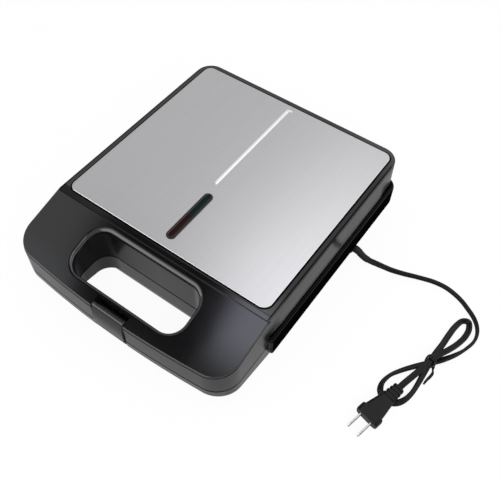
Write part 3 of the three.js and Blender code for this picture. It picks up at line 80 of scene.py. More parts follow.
# Least radius of a rounded corner, and how far apart the two halves of a full round end stay.
LEAST_R = 0.05
HAIR = 0.001

# Top cover: sloping grip, flat rim, crease between them, and the finger window.
CREASE_Y = -95.25
CREASE_W = 0.8
SLOPE_TOP = 111.739
SLOPE_SHARE = 0.2675
RIM_TOP = 87
COVER_T = 2.2
COVER_EDGE = 1.8
COVER_COLLAR = 3.6
BRIDGE_HALF = 3.4
BRIDGE_SINK = 0.5
FILL_SINK = 0.2
WINDOW = (-69.5, 69.5, -154.05, -103.45)
WINDOW_R = 18

# Base: the tub, and the grip half whose underside rises towards the front. The tub tucks in downwards,
# as [share of the height, share of the tuck].
BASE_Z = 5
BASE_FLOOR = 2.6
BASE_TUCK = 10
FRONT_TUCK = 3
BASE_FRONT_R = 14
GRIP_LOW_Z = -0.6365
GRIP_RISE = 0.154
GRIP_EDGE = 4.5
GRIP_ROOT_Y = -75.25
TUB_TUCK = [(0, 1), (0.05, 0.62), (0.18, 0.36), (0.45, 0.15), (1, 0.03)]

# Rails along both sides of the seam. The lid's rail is rounded at its shoulder, as [share of the
# shoulder, bevel].
RAIL_OUT = 5.8
RAIL_BEVEL = 1.3
RAIL_SHOULDER = 6
LID_RAIL_TOP = 56
BASE_RAIL_LOW = 28.4
RAIL_FRONT = -96.25
RAIL_FRONT_R = 4
RAIL_END_R = 3.6
RAIL_BACK_R = 14
RAIL_END_SHARE = 0.6
RAIL_CHAMFER = 0.3
RAIL_ROUNDING = [
    (0, 0), (0.15, 0.06), (0.3, 0.3), (0.5, 0.75), (0.7, 1.45), (0.86, 2.3), (0.96, 3), (1, 3.38),
]

# Slight outward slope of the lid's side walls above the rails, with its places as [y, share].
FLARE_SINK = 0.4
FLARE_LEAST = 0.5
FLARE_OUT = 1.7
FLARE_RISE = 24
FLARE_FOOT = 0.2
FLARE_OVERLAP = 1
FLARE_PLACES = [
    (RAIL_FRONT + 0.5, 0.1), (RAIL_FRONT + 10, 0.6), (RAIL_FRONT + 22, 1), (BACK_Y - 44, 1),
    (BACK_Y - 22, 0.1),
]

# Hinge at the back, on one axis, and the sleeve that brings the leads across it.
HINGE = (167.75, 40)
HINGE_R = 6
HINGE_X = 78
HINGE_WEB = 15
LID_KNUCKLE_HALF = 9
BASE_KNUCKLE_W = 8
RUN_GAP = 0.4
HINGE_PIN_R = 2.5
SLEEVE_R = 3.2
SLEEVE_HALF = 15

# Steel panel with its raised line, and the indicator in it. The bezel's section is [inset, share of
# what stands proud], the lens's is [inset, drop].
PANEL = (-127, 127, -87.25, 153.25)
PANEL_R = 9
PANEL_TOP = 88
PANEL_SHEET = 0.8
PANEL_SKIRT = 1.8
PANEL_EDGE = 0.8
PANEL_GROOVE = 1.6
PANEL_LEDGE = 10
POCKET_DEPTH = 1.2
LINE = (-7.6, -2.8, 5.25, 147.35)
LINE_HOOK = 3.2
SLOT = (-4.95, 5.75, -77.15, -7.45)
BEZEL_RIM = 2.6
BEZEL_PROUD = 1
BEZEL_DEPTH = 8
LENS_DEPTH = 3
LENS_SINK = 0.4
GAP = 0.3
LINE_FLAT = 0.2
LINE_CROWN = 0.9
SLOT_FLARE = 0.6
SLOT_FLARE_TOP = 0.02
BEZEL_SECTION = [
    (0, GAP), (0, 0.55), (0.12, 0.8), (0.35, 0.95), (0.65, 1.0), (1.4, 0.97), (2.1, 0.85), (BEZEL_RIM, 0.6),
]
LENS_SECTION = [(0, 0.45), (0.25, 0.3), (0.65, 0.14), (1.2, 0.04), (1.9, 0.0)]

# Front latch. Its curve is [share of the height, share of the bulge], its sides are [distance from the
# side, bevel].
LATCH_HALF_W = 20
LATCH_GAP = 0.9
LATCH_RECESS_Y = -158.75
LATCH_PIVOT = (-163.85, 56)
LATCH_HUB_R = 4
LATCH_PIN_R = 1.5
LATCH_TOP = 68
LATCH_LOW = 30.2
LATCH_FRONT = -171.85
LATCH_BULGE = 1.9
LATCH_SKIN = 3.6
LATCH_BLOCK = 5
LATCH_SHOULDER = 4.1
LATCH_HUB_HALF = LATCH_HALF_W - 1
LATCH_CURVE = [(0, 0), (0.08, 0.5), (0.2, 0.82), (0.36, 1), (0.52, 0.95), (0.68, 0.62), (0.84, -0.1)]
LATCH_SIDES = [(0, 1.0), (0.12, 0.62), (0.35, 0.33), (0.7, 0.1), (1.1, 0)]
LATCH_PIN_HALF = 23.6
CATCH_Y = -167.45
CATCH_Z = 33.4
CATCH_DEPTH = 3.4
TOOTH = 1.6

# Baking plates. A cavity's mouth is [inset, depth], its foot [share of the draft, height over the floor].
HEARTS = 5
PLATE = (-118, 118, -83.15, 140.85)
PLATE_Y = 28.85
PLATE_R = 9
PLATE_GAP = 1
PLATE_SKIN = 4
LAND_GAP = 0.8
CAVITY_DEPTH = 9
CAVITY_FLOOR = 3
CAVITY_DRAFT = 1.5
PAN_WALL = 3.2
HEART_POINT = 4
HEART_ANGLE = math.radians(35)
HEART_LOBE_R = 23.5
HEART_LOBE_OFF = 19.8
GRID_PITCH = 13.2
GRID_FIRST = 22
GRID_ROWS = 4
GRID_COLUMNS = 8
STUD_CLEAR = 0.7
STUD_SINK = 0.6
STUD_SPREAD = (1.04, 1.08)
PAN_EDGE = 0.8
CAVITY_MOUTH = [(-0.9, -0.6), (-0.5, 0.0), (-0.2, 0.15), (0, 0.6)]
CAVITY_FOOT = [(0.75, 1.6), (1, 0.7), (1.35, 0.15), (2, 0)]

# Screws, feet and their places.
POST_X = 88
POST_Y = 94
SCREW_R = 1.8
SCREW_HEAD_R = 3.6
SCREW_HEAD_H = 1.9
SCREW_BITE = 2.4
SCREW_TURN = 0.4
HEAD_TAPER = 0.72
CROSS = (3.4, 0.7, 2)
BRACKET_T = 3
BRACKET_HALF = 7
POST_R = 5
STANDOFF_X = 78
STANDOFF_Y = 74
STANDOFF_R = 4
STANDOFF_TOP = 12.2
LID_POST_X = 84
LID_POST_TOP = 57.4
FOOT_R = 9
FOOT_TOP_R = 8.1
FOOT_H = 6
FOOT_SOLE = 0.4
FOOT_RING_R = 2.6
FOOT_RING_T = 0.5
FOOT_RING_STEP = 0.95
FOOT_PLACES = [(-109.4, -73.45), (109.4, -73.45), (-109.4, 131.15), (109.4, 131.15)]

# Power cord, in the order in which it lies: [x, y, z, roll in quarter turns]. Roll 0 lies flat and
# roll 1 stands on edge. The strands cross inside the tie.
EXIT = (137.1, 72.75, 14)
BUSH_R = 5
BUSH_REACH = 20
CORD_W = 6.6
CORD_T = 3.4
CORD_START = (0, 1.4, 2.8)
CORD_END = 6.6
ROUTE_STEPS = 24
WEB_SHARE = 0.3
TIE_AT = (269.6, 1.25)
TIE_Z = (4.1, 8.3, 12.5)
TIE_AXIS = (0.3, 0.954)
PLUG_AT = (257.9, -44.25, 10.8)
PLUG_DIR = (-0.239, -0.971)
PLUG_TILT = 0.075
ROUTE_LEAD = [
    [143, 72.9, 12.9, 0], [147.6, 73.3, 9.2, 0.05], [152.4, 74, 6, 0.15], [158.5, 75, 4.2, 0.3],
    [166.4, 76.2, 3.8, 0.55], [175, 77.2, 3.8, 0.75], [183.9, 78.5, 3.8, 0.8], [197, 82.1, 3.8, 0.9],
    [211.8, 87.2, 3.8, 1],
    [230, 92.4, 3.8, 1], [244.9, 93.2, 3.8, 1], [262, 89, 3.8, 1], [275.1, 82.2, 3.8, 1],
    [283.9, 76.4, 3.8, 1], [290.6, 69.5, 3.8, 1], [295, 60.8, 3.8, 1], [296.2, 50.8, 3.8, 1],
    [292.7, 36.9, 3.9, 0.9], [286.4, 23.5, 4.2, 0.5], [279.2, 12.6, 4.2, 0.2], [273.8, 5.8, 4.1, 0.05],
]
ROUTE_LOW_LOOP = [
    [265.9, -3.55, 4.1, 0.05], [259.3, -11, 3.9, 0.3], [249.9, -23.5, 3.8, 0.5], [243.4, -35, 3.8, 0.7],
    [241.3, -46.7, 3.8, 0.6], [243.8, -53.9, 3.1, 0.25], [249.4, -58.1, 2.1, 0], [256, -59.2, 2, 0],
    [262.2, -56.3, 2.5, 0.1], [267.2, -50.2, 3.7, 0.5], [270.2, -39.6, 3.8, 0.7], [270.7, -26.7, 4.1, 0.6],
    [270.2, -13.25, 6, 0.3],
]
ROUTE_HIGH_LOOP = [
    [270.2, 13.75, 6.8, 0.1], [271.2, 26.75, 5.4, 0.1], [271.7, 41.75, 4, 0.15], [272.9, 55.75, 3.4, 0.3],
    [276.2, 65.95, 3.4, 0.6], [281.6, 68.35, 3.4, 0.5], [285.7, 61.35, 3.4, 0.3], [286.3, 50.35, 3.8, 0.2],
    [283.6, 36.35, 6.2, 0.2], [279.2, 23.35, 9.2, 0.15], [274.6, 12.75, 11.6, 0.1],
]
ROUTE_TAIL = [[266.6, -12.65, 12.4, 0], [262.6, -27.25, 11.9, 0]]
TIE_UP = [[0.27, 0.86, 0.24], [0.23, 0.63, 0.4], [0.2, 0.4, 0.56], [0.08, 0.14, 0.85]]
TIE_DOWN = [[0.13, 0.02, 0.62], [0.22, 0.06, 0.3], [0.26, 0.24, 0.14], [0.27, 0.42, 0.1], [0.3, 0.66, 0.08]]
TIE_STARTS = (2, -4)
TIE_REACH = 25
TIE_TAIL_LOW = 1.3
TIE_PITCH = 2
TIE_TURNS = 2
TIE_STEPS = 20
TIE_HALF_T = 0.65
TIE_SPARE_W = 1.0
TIE_SPARE_H = 0.5
TIE_CORNER = 0.42

# Sleeve on the cord at its exit, from its root to its tip.
RELIEF_STEP = 0.8
RELIEF_HALF_W = (4.3, 3.7)
RELIEF_HALF_T = (4, 2.1)
RELIEF_TIP = 0.5
RELIEF_CORNER = 0.9

# Plug. A rib is [share of the rib, share of its depth], a section of the body is [along, width, height,
# share of the height that a corner takes], and a blade's section is [across, inset].
PLUG_RELIEF = 17.5
PLUG_FACE = 46.4
PLUG_RELIEF_W = (11.6, 15.3)
PLUG_RELIEF_H = (9, 10)
PLUG_RELIEF_CORNER = 0.3
RIB_SECTION = [(0, 0.15), (0.06, 0), (0.44, 0), (0.5, 0.15), (0.56, 1), (0.92, 1), (0.98, 0.3)]
RIB_DEPTH = 1.8
PLUG_SECTIONS = [
    (PLUG_RELIEF, 15.3, 10, 0.3), (20, 15.9, 10.3, 0.32), (24, 17.4, 10.9, 0.34), (28, 18.9, 11.5, 0.36),
    (32, 20.3, 12, 0.36), (35, 21.2, 12.3, 0.34), (36, 21.6, 12.4, 0.32), (36.5, 22.6, 12.5, 0.3),
    (36.8, 24.4, 12.9, 0.3), (37.3, 25.3, 13.1, 0.3), (38, 25.6, 13.2, 0.3), (44.6, 25.6, 13.2, 0.3),
    (45.6, 25.2, 12.9, 0.3), (46.1, 24.5, 12.2, 0.3), (PLUG_FACE, 23.4, 11.2, 0.3),
]
BLADE_SPACING = 12.7
BLADE_W = 6.35
BLADE_T = 1.5
BLADE_L = 17.5
BLADE_TIP = 1.4
BLADE_ROOT = 6
BLADE_HOLE = 13.4
BLADE_HOLE_R = 1.6
BLADE_SECTION = [(-0.75, 0.22), (-0.62, 0.06), (-0.5, 0), (0.5, 0), (0.62, 0.06), (0.75, 0.22)]

# Camera and key light, with their places in metres, and the floor.
CAMERA_AT = (0.28379, -0.33758, 0.60391)
CAMERA_RIGHT = (0.8107, 0.5854, 0.0079)
CAMERA_DOWN = (0.4824, -0.6604, -0.5755)
CAMERA_LENS = 46.42
KEY_AT = (0.9, -0.7, 1.3)
KEY_AIM = (0, 0, 0.05)
KEY_SIZE = (1.0, 1.0)
FLOOR_HALF = 6000
FLOOR_TONE = (0.93, 0.93, 0.93, 1)
FLOOR_GLOW = (1.03, 0.6)
FLOOR_SHARE = 0.9

# Panels that only reflections see: name, centre, facing, size, radiance at the near and the far edge,
# tone, and the share of the width and of the depth over which each edge fades out. The softbox setting
# scales them all but the steady one.
STEADY_CARD = "dim_card"
DOWN = (0, 0, -1)
WHITE = (1, 1, 1)
CARDS = [
    ("softbox", (580, 980, 1200), DOWN, (2040, 1420), (2.75, 0.85), (0.985, 0.985, 1), (0.06, 0.06)),
    ("dark_card", (-514, -120, 1200), DOWN, (549, 740), (0, 0), WHITE, (0.06, 0.08)),
    (STEADY_CARD, (-130, -460, 1200), DOWN, (320, 230), (0.25, 0.25), WHITE, (0.06, 0.2)),
    ("left_card", (-905, -520, 1190), DOWN, (390, 400), (1.6, 1.2), (0.96, 0.98, 1.05), (0.12, 0.2)),
    ("blue_card", (60, -80, 1190), DOWN, (690, 640), (3.3, 3.3), (0.92, 0.94, 1.1), (0.05, 0.25)),
    ("front_card", (-900, -1500, 1000), (0.3, 0.9, 0), (2600, 1700), (4.2, 4.2), WHITE, (0.06, 0.06)),
    ("side_card", (1500, 700, 900), (-0.9, -0.4, 0), (2000, 1100), (2.4, 2.4), WHITE, (0.1, 0.06)),
]

SURFACES = {}


# Settings that a user would change


def length(name, description, default, low=0.0, high=0.1):
    return FloatProperty(
        name=name, description=description, default=default, min=low, max=high, precision=5,
        subtype="DISTANCE", unit="LENGTH",
    )


def colour(name, description, default):
    return FloatVectorProperty(
        name=name, description=description, default=default, size=3, min=0, max=1, subtype="COLOR",
    )


class HousingSettings(bpy.types.PropertyGroup):
    edge_radius: length("Edge radius", "Rounding of the top cover's outer edge", 0.0008, 0.0002, 0.0022)
    lip_width: length("Window lip width", "Width of the rounded lip round the window", 0.0046, 0.001, 0.008)
    lip_depth: length("Window lip depth", "Depth of the rounded lip round the window", 0.0036, 0.001, 0.0036)
    line_height: length("Raised line", "Height of the raised line on the panel", 0.00035, 0.0001, 0.0008)


class PlateSettings(bpy.types.PropertyGroup):
    stud_base: length("Stud base", "Half width of a stud at the cavity's floor", 0.004, 0.001, 0.006)
    stud_top: length("Stud top", "Half width of a stud at its top", 0.0022, 0.0005, 0.004)
    stud_height: length("Stud height", "Height of a stud above the cavity's floor", 0.0056, 0.001, 0.008)
    stud_crease: FloatProperty(
        name="Stud sharpness", description="How sharp a stud's edges stay", default=0.82, min=0, max=1,
        subtype="FACTOR",
    )


class CordSettings(bpy.types.PropertyGroup):
    width: length("Width", "Width of the flat twin lead", 0.0066, 0.004, 0.0066)
    thickness: length("Thickness", "Thickness of the flat twin lead", 0.0034, 0.002, 0.0034)
    groove: length("Groove", "Depth of the groove between the two cores", 0.0005, 0.0, 0.0012)
    step: length("Step", "Spacing of the rings of points along the lead", 0.0016, 0.0008, 0.004)
    tie_width: length("Tie width", "Width of the tie's flat strip", 0.0019, 0.001, 0.0026)
    tie_thickness: length("Tie thickness", "Thickness of the tie's flat strip", 0.001, 0.0006, 0.0013)
    ribs: IntProperty(name="Relief ribs", description="Ribs on the plug's relief", default=4, min=2, max=8)


class FinishSettings(bpy.types.PropertyGroup):
    plastic: colour("Plastic", "Moulded black of the housings", (0.0105, 0.0105, 0.0115))
    steel: colour("Steel", "Brushed steel of the panel", (0.405, 0.402, 0.41))
    pale_line: colour("Pale line", "Frosted line along the panel", (0.86, 0.86, 0.87))
    red: colour("Red lens", "Front half of the indicator", (0.03, 0.008, 0.009))
    green: colour("Green lens", "Back half of the indicator", (0.006, 0.022, 0.02))
    coating: colour("Coating", "Non-stick coating of the baking plates", (0.02, 0.02, 0.022))
    sheath: colour("Sheath", "Cord, plug and tie", (0.0042, 0.0042, 0.0046))


class StudioSettings(bpy.types.PropertyGroup):
    key: FloatProperty(name="Key", description="Strength of the key light", default=9.0, min=0, max=100)
    softbox: FloatProperty(
        name="Softbox", description="Strength of the panels in reflections", default=1.0, min=0, max=10,
    )
    room: FloatProperty(name="Room", description="Strength of the room's light", default=0.62, min=0, max=2)


# Outlines


def arc(x, y, radius, start, end, steps):
    turns = np.radians(np.linspace(start, end, steps + 1))
    return [(x + radius * math.cos(t), y + radius * math.sin(t)) for t in turns]


def rounded_rect(bounds, radius, inset=0.0, steps=12):
    x0, x1, y0, y1 = bounds
    r = max(radius - inset, LEAST_R)
    x0, x1, y0, y1 = x0 + inset + r, x1 - inset - r, y0 + inset + r, y1 - inset - r
    return [
        *arc(x1, y1, r, 0, 90, steps), *arc(x0, y1, r, 90, 180, steps),
        *arc(x0, y0, r, 180, 270, steps), *arc(x1, y0, r, 270, 360, steps),
    ]


def front_outline(inset):
    corner = HALF_W - FRONT_R
    half = math.degrees(math.asin((corner - inset) / BOW_R))
    return [
        *arc(-corner, FRONT_CORNER_Y, FRONT_R - inset, 180, 180 + FRONT_CORNER_TURN, 20),
        *arc(0, BOW_Y, BOW_R - inset, 270 - half, 270 + half, 24),
        *arc(corner, FRONT_CORNER_Y, FRONT_R - inset, -FRONT_CORNER_TURN, 0, 20),
    ]


def back_outline(inset):
    x, y, r = HALF_W - BACK_R, BACK_Y - BACK_R, BACK_R - inset
    return [*arc(x, y, r, 0, 90, 16), *arc(-x, y, r, 90, 180, 16)]


def grip_outline(inset, root_y):
    return [(inset - HALF_W, root_y), *front_outline(inset), (HALF_W - inset, root_y)]


def rim_outline(inset, root_y):
    return [(HALF_W - inset, root_y), *back_outline(inset), (inset - HALF_W, root_y)]


def plan_outline(inset):
    return [*back_outline(inset), *front_outline(inset)]


def rail_outline(bevel):
    x, back = HALF_W + RAIL_OUT - bevel, BACK_Y - BACK_R + RAIL_BACK_R - bevel
    r, f, front = RAIL_BACK_R - bevel, RAIL_END_R, RAIL_FRONT + bevel * RAIL_END_SHARE
    return [
        *arc(x - r, back - r, r, 0, 90, 12), *arc(r - x, back - r, r, 90, 180, 12),
        *arc(f - x, front + f, f, 180, 270, 12), *arc(x - f, front + f, f, 270, 360, 12),
    ]


def tub_outline(inset, tuck):
    corner = inset + tuck * BASE_TUCK
    x, back = HALF_W - corner, BACK_Y - corner
    front = WINDOW[3] + inset + tuck * FRONT_TUCK
    r, f = BACK_R - corner, BASE_FRONT_R - corner
    return [
        *arc(x - r, back - r, r, 0, 90, 14), *arc(r - x, back - r, r, 90, 180, 14),
        *arc(f - x, front + f, f, 180, 270, 14), *arc(x - f, front + f, f, 270, 360, 14),
    ]


def window_outline(outset):
    return rounded_rect(WINDOW, WINDOW_R, -outset, 14)


def panel_outline(inset):
    return rounded_rect(PANEL, PANEL_R, inset, 10)


def slot_outline(inset):
    return rounded_rect(SLOT, (SLOT[1] - SLOT[0]) / 2 - HAIR, inset, 14)


def heart_outline(inset, steps=26):
    radius = HEART_LOBE_R - inset
    reach = HEART_LOBE_R + HEART_LOBE_OFF * math.cos(HEART_ANGLE)
    centre = HEART_POINT + reach / math.sin(HEART_ANGLE)
    tip = HEART_POINT + inset / math.sin(HEART_ANGLE)
    notch = math.degrees(math.asin(HEART_LOBE_OFF / radius))
    tangent = 90 + math.degrees(HEART_ANGLE)
    right = arc(centre, -HEART_LOBE_OFF, radius, -tangent, notch, steps)
    left = arc(centre, HEART_LOBE_OFF, radius, -notch, tangent, steps)
    return [(tip, 0.0), *right, *left[1:]]


def heart_angle(index):
    return math.pi / 2 + index * 2 * math.pi / HEARTS


def turned(points, index):
    angle = heart_angle(index)
    c, s = math.cos(angle), math.sin(angle)
    return [(u * c - v * s, PLATE_Y + u * s + v * c) for u, v in points]


def slope_top(y):
    return SLOPE_TOP + SLOPE_SHARE * y


def grip_underside(y):
    return GRIP_LOW_Z - GRIP_RISE * y


def part_way(share, start, end):
    return start + (end - start) * share


def at(outline, height):
    return [(x, y, height(y) if callable(height) else height) for x, y in outline]


def below(surface, drop):
    return lambda y: surface(y) - drop


# Meshes


def tidy_mesh(mesh, flat=None):
    """Joins doubled points, turns the faces outwards and, if flat is given, merges level faces."""
    bm = bmesh.new()
    bm.from_mesh(mesh)
    bmesh.ops.remove_doubles(bm, verts=bm.verts, dist=1e-6)
    if flat is not None:
        bmesh.ops.dissolve_limit(bm, angle_limit=math.radians(flat), verts=bm.verts, edges=bm.edges)
    bmesh.ops.recalc_face_normals(bm, faces=bm.faces)
    bm.to_mesh(mesh)
    bm.free()


def new_object(name, mesh):
    made = bpy.data.objects.new(name, mesh)
    bpy.context.scene.collection.objects.link(made)
    return made


def solid(name, points, faces):
    mesh = bpy.data.meshes.new(name)
    mesh.from_pydata([[c * MM for c in p] for p in points], [], faces)
    tidy_mesh(mesh)
    return new_object(name, mesh)


def skin(rings, count, closed=False):
    """Faces between each ring and the next, and between the last and the first if closed."""
    faces = []
    for ring in range(rings if closed else rings - 1):
        here, there = ring * count, (ring + 1) % rings * count
        for i in range(count):
            after = (i + 1) % count
            faces.append([here + i, here + after, there + after, there + i])
    return faces


def loft(name, rings, place=tuple):
    """A closed solid over rings of points that all have the same count."""
    count = len(rings[0])
    last = (len(rings) - 1) * count
    faces = [*skin(len(rings), count), list(range(count)), list(range(last, last + count))]
    return solid(name, [place(point) for ring in rings for point in ring], faces)


def prism(name, outline, low, high):
    return loft(name, [at(outline, low), at(outline, high)])


def block(name, x0, x1, y0, y1, z0, z1):
    return prism(name, [(x0, y0), (x1, y0), (x1, y1), (x0, y1)], z0, z1)


def along_x(point):
    return (point[2], point[0], point[1])


def prism_x(name, outline, x0, x1):
    return loft(name, [at(outline, x0), at(outline, x1)], along_x)


def rod_z(name, radius, x, y, low, high, steps=32):
    return prism(name, arc(x, y, radius, 0, 360, steps)[:-1], low, high)


def rod_x(name, radius, y, z, x0, x1, steps=32):
    ring = arc(y, z, radius, 0, 360, steps)[:-1]
    return loft(name, [at(ring, x0), at(ring, x1)], along_x)


def settle(made):
    """Turns an object's modifiers into its plain mesh."""
    graph = bpy.context.evaluated_depsgraph_get()
    finished = made.evaluated_get(graph)
    mesh = bpy.data.meshes.new_from_object(finished, preserve_all_data_layers=True, depsgraph=graph)
    old = made.data
    made.modifiers.clear()
    made.data = mesh
    bpy.data.meshes.remove(old)
    return made


def combine(made, operation, *others):
    for other in others:
        step = made.modifiers.new(operation.lower(), "BOOLEAN")
        step.operation = operation
        step.solver = "MANIFOLD"
        step.object = other
    settle(made)
    for other in others:
        mesh = other.data
        bpy.data.objects.remove(other)
        bpy.data.meshes.remove(mesh)
    if not made.data.polygons:
        raise RuntimeError(f"{made.name} came out empty")
    return made


def smooth(made, angle=32.0, weighted=True):
    """Smooth shading with sharp edges above an angle, and level faces kept level."""
    made.data.shade_smooth()
    made.data.set_sharp_from_angle(angle=math.radians(angle))
    if weighted:
        step = made.modifiers.new("weighted", "WEIGHTED_NORMAL")
        step.keep_sharp = True
        step.weight = 80
    return made


def refined(node, name, angle=30.0):
    """A merged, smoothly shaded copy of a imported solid, for a piece whose shape is already right."""
    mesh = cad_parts[node].data.copy()
    mesh.name = name
    tidy_mesh(mesh, flat=0.4)
    return smooth(new_object(name, mesh), angle)


def dress(made, surface, body, slot, *nodes):
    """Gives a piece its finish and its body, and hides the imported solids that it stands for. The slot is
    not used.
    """
    made.data.materials.clear()
    made.data.materials.append(SURFACES[surface])
    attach(made, body)
    if nodes:
        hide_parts(*nodes)
    return made


def coat(surface, *nodes):
    """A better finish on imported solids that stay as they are."""
    for name in nodes:
        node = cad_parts[name]
        if not node.material_slots:
            node.data.materials.append(None)
        for place in node.material_slots:
            place.material = SURFACES[surface]


# Finishes


def node(tree, kind, **values):
    made = tree.nodes.new(kind)
    for key, value in values.items():
        setattr(made, key, value)
    return made


def math_node(tree, operation, first, second=None):
    made = node(tree, "ShaderNodeMath", operation=operation)
    for socket, value in zip(made.inputs, (first, second)):
        if isinstance(value, bpy.types.NodeSocket):
            tree.links.new(value, socket)
        elif value is not None:
            socket.default_value = value
    return made.outputs[0]


def ramp(tree, value, low, high, to_low=0.0, to_high=1.0, soft=False):
    made = node(tree, "ShaderNodeMapRange", interpolation_type="SMOOTHSTEP" if soft else "LINEAR")
    for socket, number in zip(made.inputs[1:5], (low, high, to_low, to_high)):
        socket.default_value = number
    tree.links.new(value, made.inputs[0])
    return made.outputs[0]


def grain_group():
    """Shared grain: fine bumps, a slow change of roughness and a mottle for the colour."""
    tree = bpy.data.node_groups.new("surface_grain", "ShaderNodeTree")
    face = tree.interface
    for name, default in (("Grain", 2500.0), ("Depth", 0.00002), ("Patches", 40.0), ("Rough Low", 0.3),
                          ("Rough High", 0.4)):
        face.new_socket(name=name, in_out="INPUT", socket_type="NodeSocketFloat").default_value = default
    face.new_socket(name="Stretch", in_out="INPUT", socket_type="NodeSocketVector").default_value = (1, 1, 1)
    face.new_socket(name="Normal", in_out="OUTPUT", socket_type="NodeSocketVector")
    face.new_socket(name="Roughness", in_out="OUTPUT", socket_type="NodeSocketFloat")
    face.new_socket(name="Mottle", in_out="OUTPUT", socket_type="NodeSocketFloat")
    start, end = node(tree, "NodeGroupInput"), node(tree, "NodeGroupOutput")
    place = node(tree, "ShaderNodeTexCoord")
    mapping = node(tree, "ShaderNodeMapping")
    fine = node(tree, "ShaderNodeTexNoise", noise_dimensions="3D")
    slow = node(tree, "ShaderNodeTexNoise", noise_dimensions="3D")
    fine.inputs["Detail"].default_value = 4
    slow.inputs["Detail"].default_value = 3
    bump = node(tree, "ShaderNodeBump")
    tree.links.new(place.outputs["Object"], mapping.inputs["Vector"])
    tree.links.new(start.outputs["Stretch"], mapping.inputs["Scale"])
    tree.links.new(mapping.outputs[0], fine.inputs["Vector"])
    tree.links.new(place.outputs["Object"], slow.inputs["Vector"])
    tree.links.new(start.outputs["Grain"], fine.inputs["Scale"])
    tree.links.new(start.outputs["Patches"], slow.inputs["Scale"])
    tree.links.new(start.outputs["Depth"], bump.inputs["Distance"])
    tree.links.new(fine.outputs[0], bump.inputs["Height"])
    tree.links.new(bump.outputs[0], end.inputs["Normal"])
    rough = node(tree, "ShaderNodeMapRange")
    rough.inputs[1].default_value = 0.3
    rough.inputs[2].default_value = 0.7
    tree.links.new(slow.outputs[0], rough.inputs[0])
    tree.links.new(start.outputs["Rough Low"], rough.inputs[3])
    tree.links.new(start.outputs["Rough High"], rough.inputs[4])
    tree.links.new(rough.outputs[0], end.inputs["Roughness"])
    tree.links.new(ramp(tree, fine.outputs[0], 0.35, 0.65), end.inputs["Mottle"])
    return tree


def surface(name, tone, rough, grain=2500.0, depth=0.02, vary=0.12, patches=40.0, stretch=(1, 1, 1), **fixed):
    """A finish with grain: rough is its low and high roughness, depth its bumps in millimetres and vary
    how far the tone strays."""
    made = bpy.data.materials.new(name)
    made.use_nodes = True
    tree = made.node_tree
    shader = tree.nodes["Principled BSDF"]
    group = node(tree, "ShaderNodeGroup", node_tree=bpy.data.node_groups["surface_grain"])
    low, high = rough
    values = {"Grain": grain, "Depth": depth * MM, "Patches": patches, "Rough Low": low, "Rough High": high,
              "Stretch": stretch}
    for key, value in values.items():
        group.inputs[key].default_value = value
    mix = node(tree, "ShaderNodeMix", data_type="RGBA")
    mix.inputs["A"].default_value = (*[c * (1 - vary) for c in tone], 1)
    mix.inputs["B"].default_value = (*[min(c * (1 + vary), 1) for c in tone], 1)
    tree.links.new(group.outputs["Mottle"], mix.inputs["Factor"])
    tree.links.new(mix.outputs["Result"], shader.inputs["Base Color"])
    tree.links.new(group.outputs["Roughness"], shader.inputs["Roughness"])
    tree.links.new(group.outputs["Normal"], shader.inputs["Normal"])
    for key, value in fixed.items():
        shader.inputs[key.replace("_", " ").title().replace("Ior", "IOR")].default_value = value
    SURFACES[name] = made
    return made


def coordinates(tree):
    place = node(tree, "ShaderNodeTexCoord")
    split = node(tree, "ShaderNodeSeparateXYZ")
    tree.links.new(place.outputs["Object"], split.inputs[0])
    return split.outputs


def between(tree, value, low, high, edge):
    """One between low and high, falling to nothing over an edge inside each."""
    rise = ramp(tree, value, low, low + edge, soft=True)
    fall = ramp(tree, value, high - edge, high, 1, 0, soft=True)
    return math_node(tree, "MULTIPLY", rise, fall)


def fade(tree, value, places, levels=(0, 1)):
    """A ramp from the first level to the second, between two places in millimetres."""
    return ramp(tree, value, places[0] * MM, places[1] * MM, *levels)


def band(tree, value, places, edge):
    """One between two places in millimetres, with soft edges inside them."""
    return between(tree, value, places[0] * MM, places[1] * MM, edge * MM)


def product(tree, *values):
    made = values[0]
    for value in values[1:]:
        made = math_node(tree, "MULTIPLY", made, value)
    return made


def greatest(tree, *values):
    made = values[0]
    for value in values[1:]:
        made = math_node(tree, "MAXIMUM", made, value)
    return made


def inverse(tree, value):
    return math_node(tree, "SUBTRACT", 1.0, value)


def mixed_towards(made, mask, tone):
    """Mixes a finish towards a tone by a mask."""
    tree = made.node_tree
    shader = tree.nodes["Principled BSDF"]
    mix = node(tree, "ShaderNodeMix", data_type="RGBA")
    mix.inputs["B"].default_value = (*tone, 1)
    tree.links.new(mask, mix.inputs["Factor"])
    tree.links.new(shader.inputs["Base Color"].links[0].from_socket, mix.inputs["A"])
    tree.links.new(mix.outputs["Result"], shader.inputs["Base Color"])


def shade(made, dark, level):
    """Paints shade: turns a finish black where dark is one. Its specular level falls to nothing there too."""
    tree = made.node_tree
    shader = tree.nodes["Principled BSDF"]
    left = inverse(tree, dark)
    mixed_towards(made, dark, PAINTED_SHADE)
    tree.links.new(math_node(tree, "MULTIPLY", left, level), shader.inputs["Specular IOR Level"])
    return made
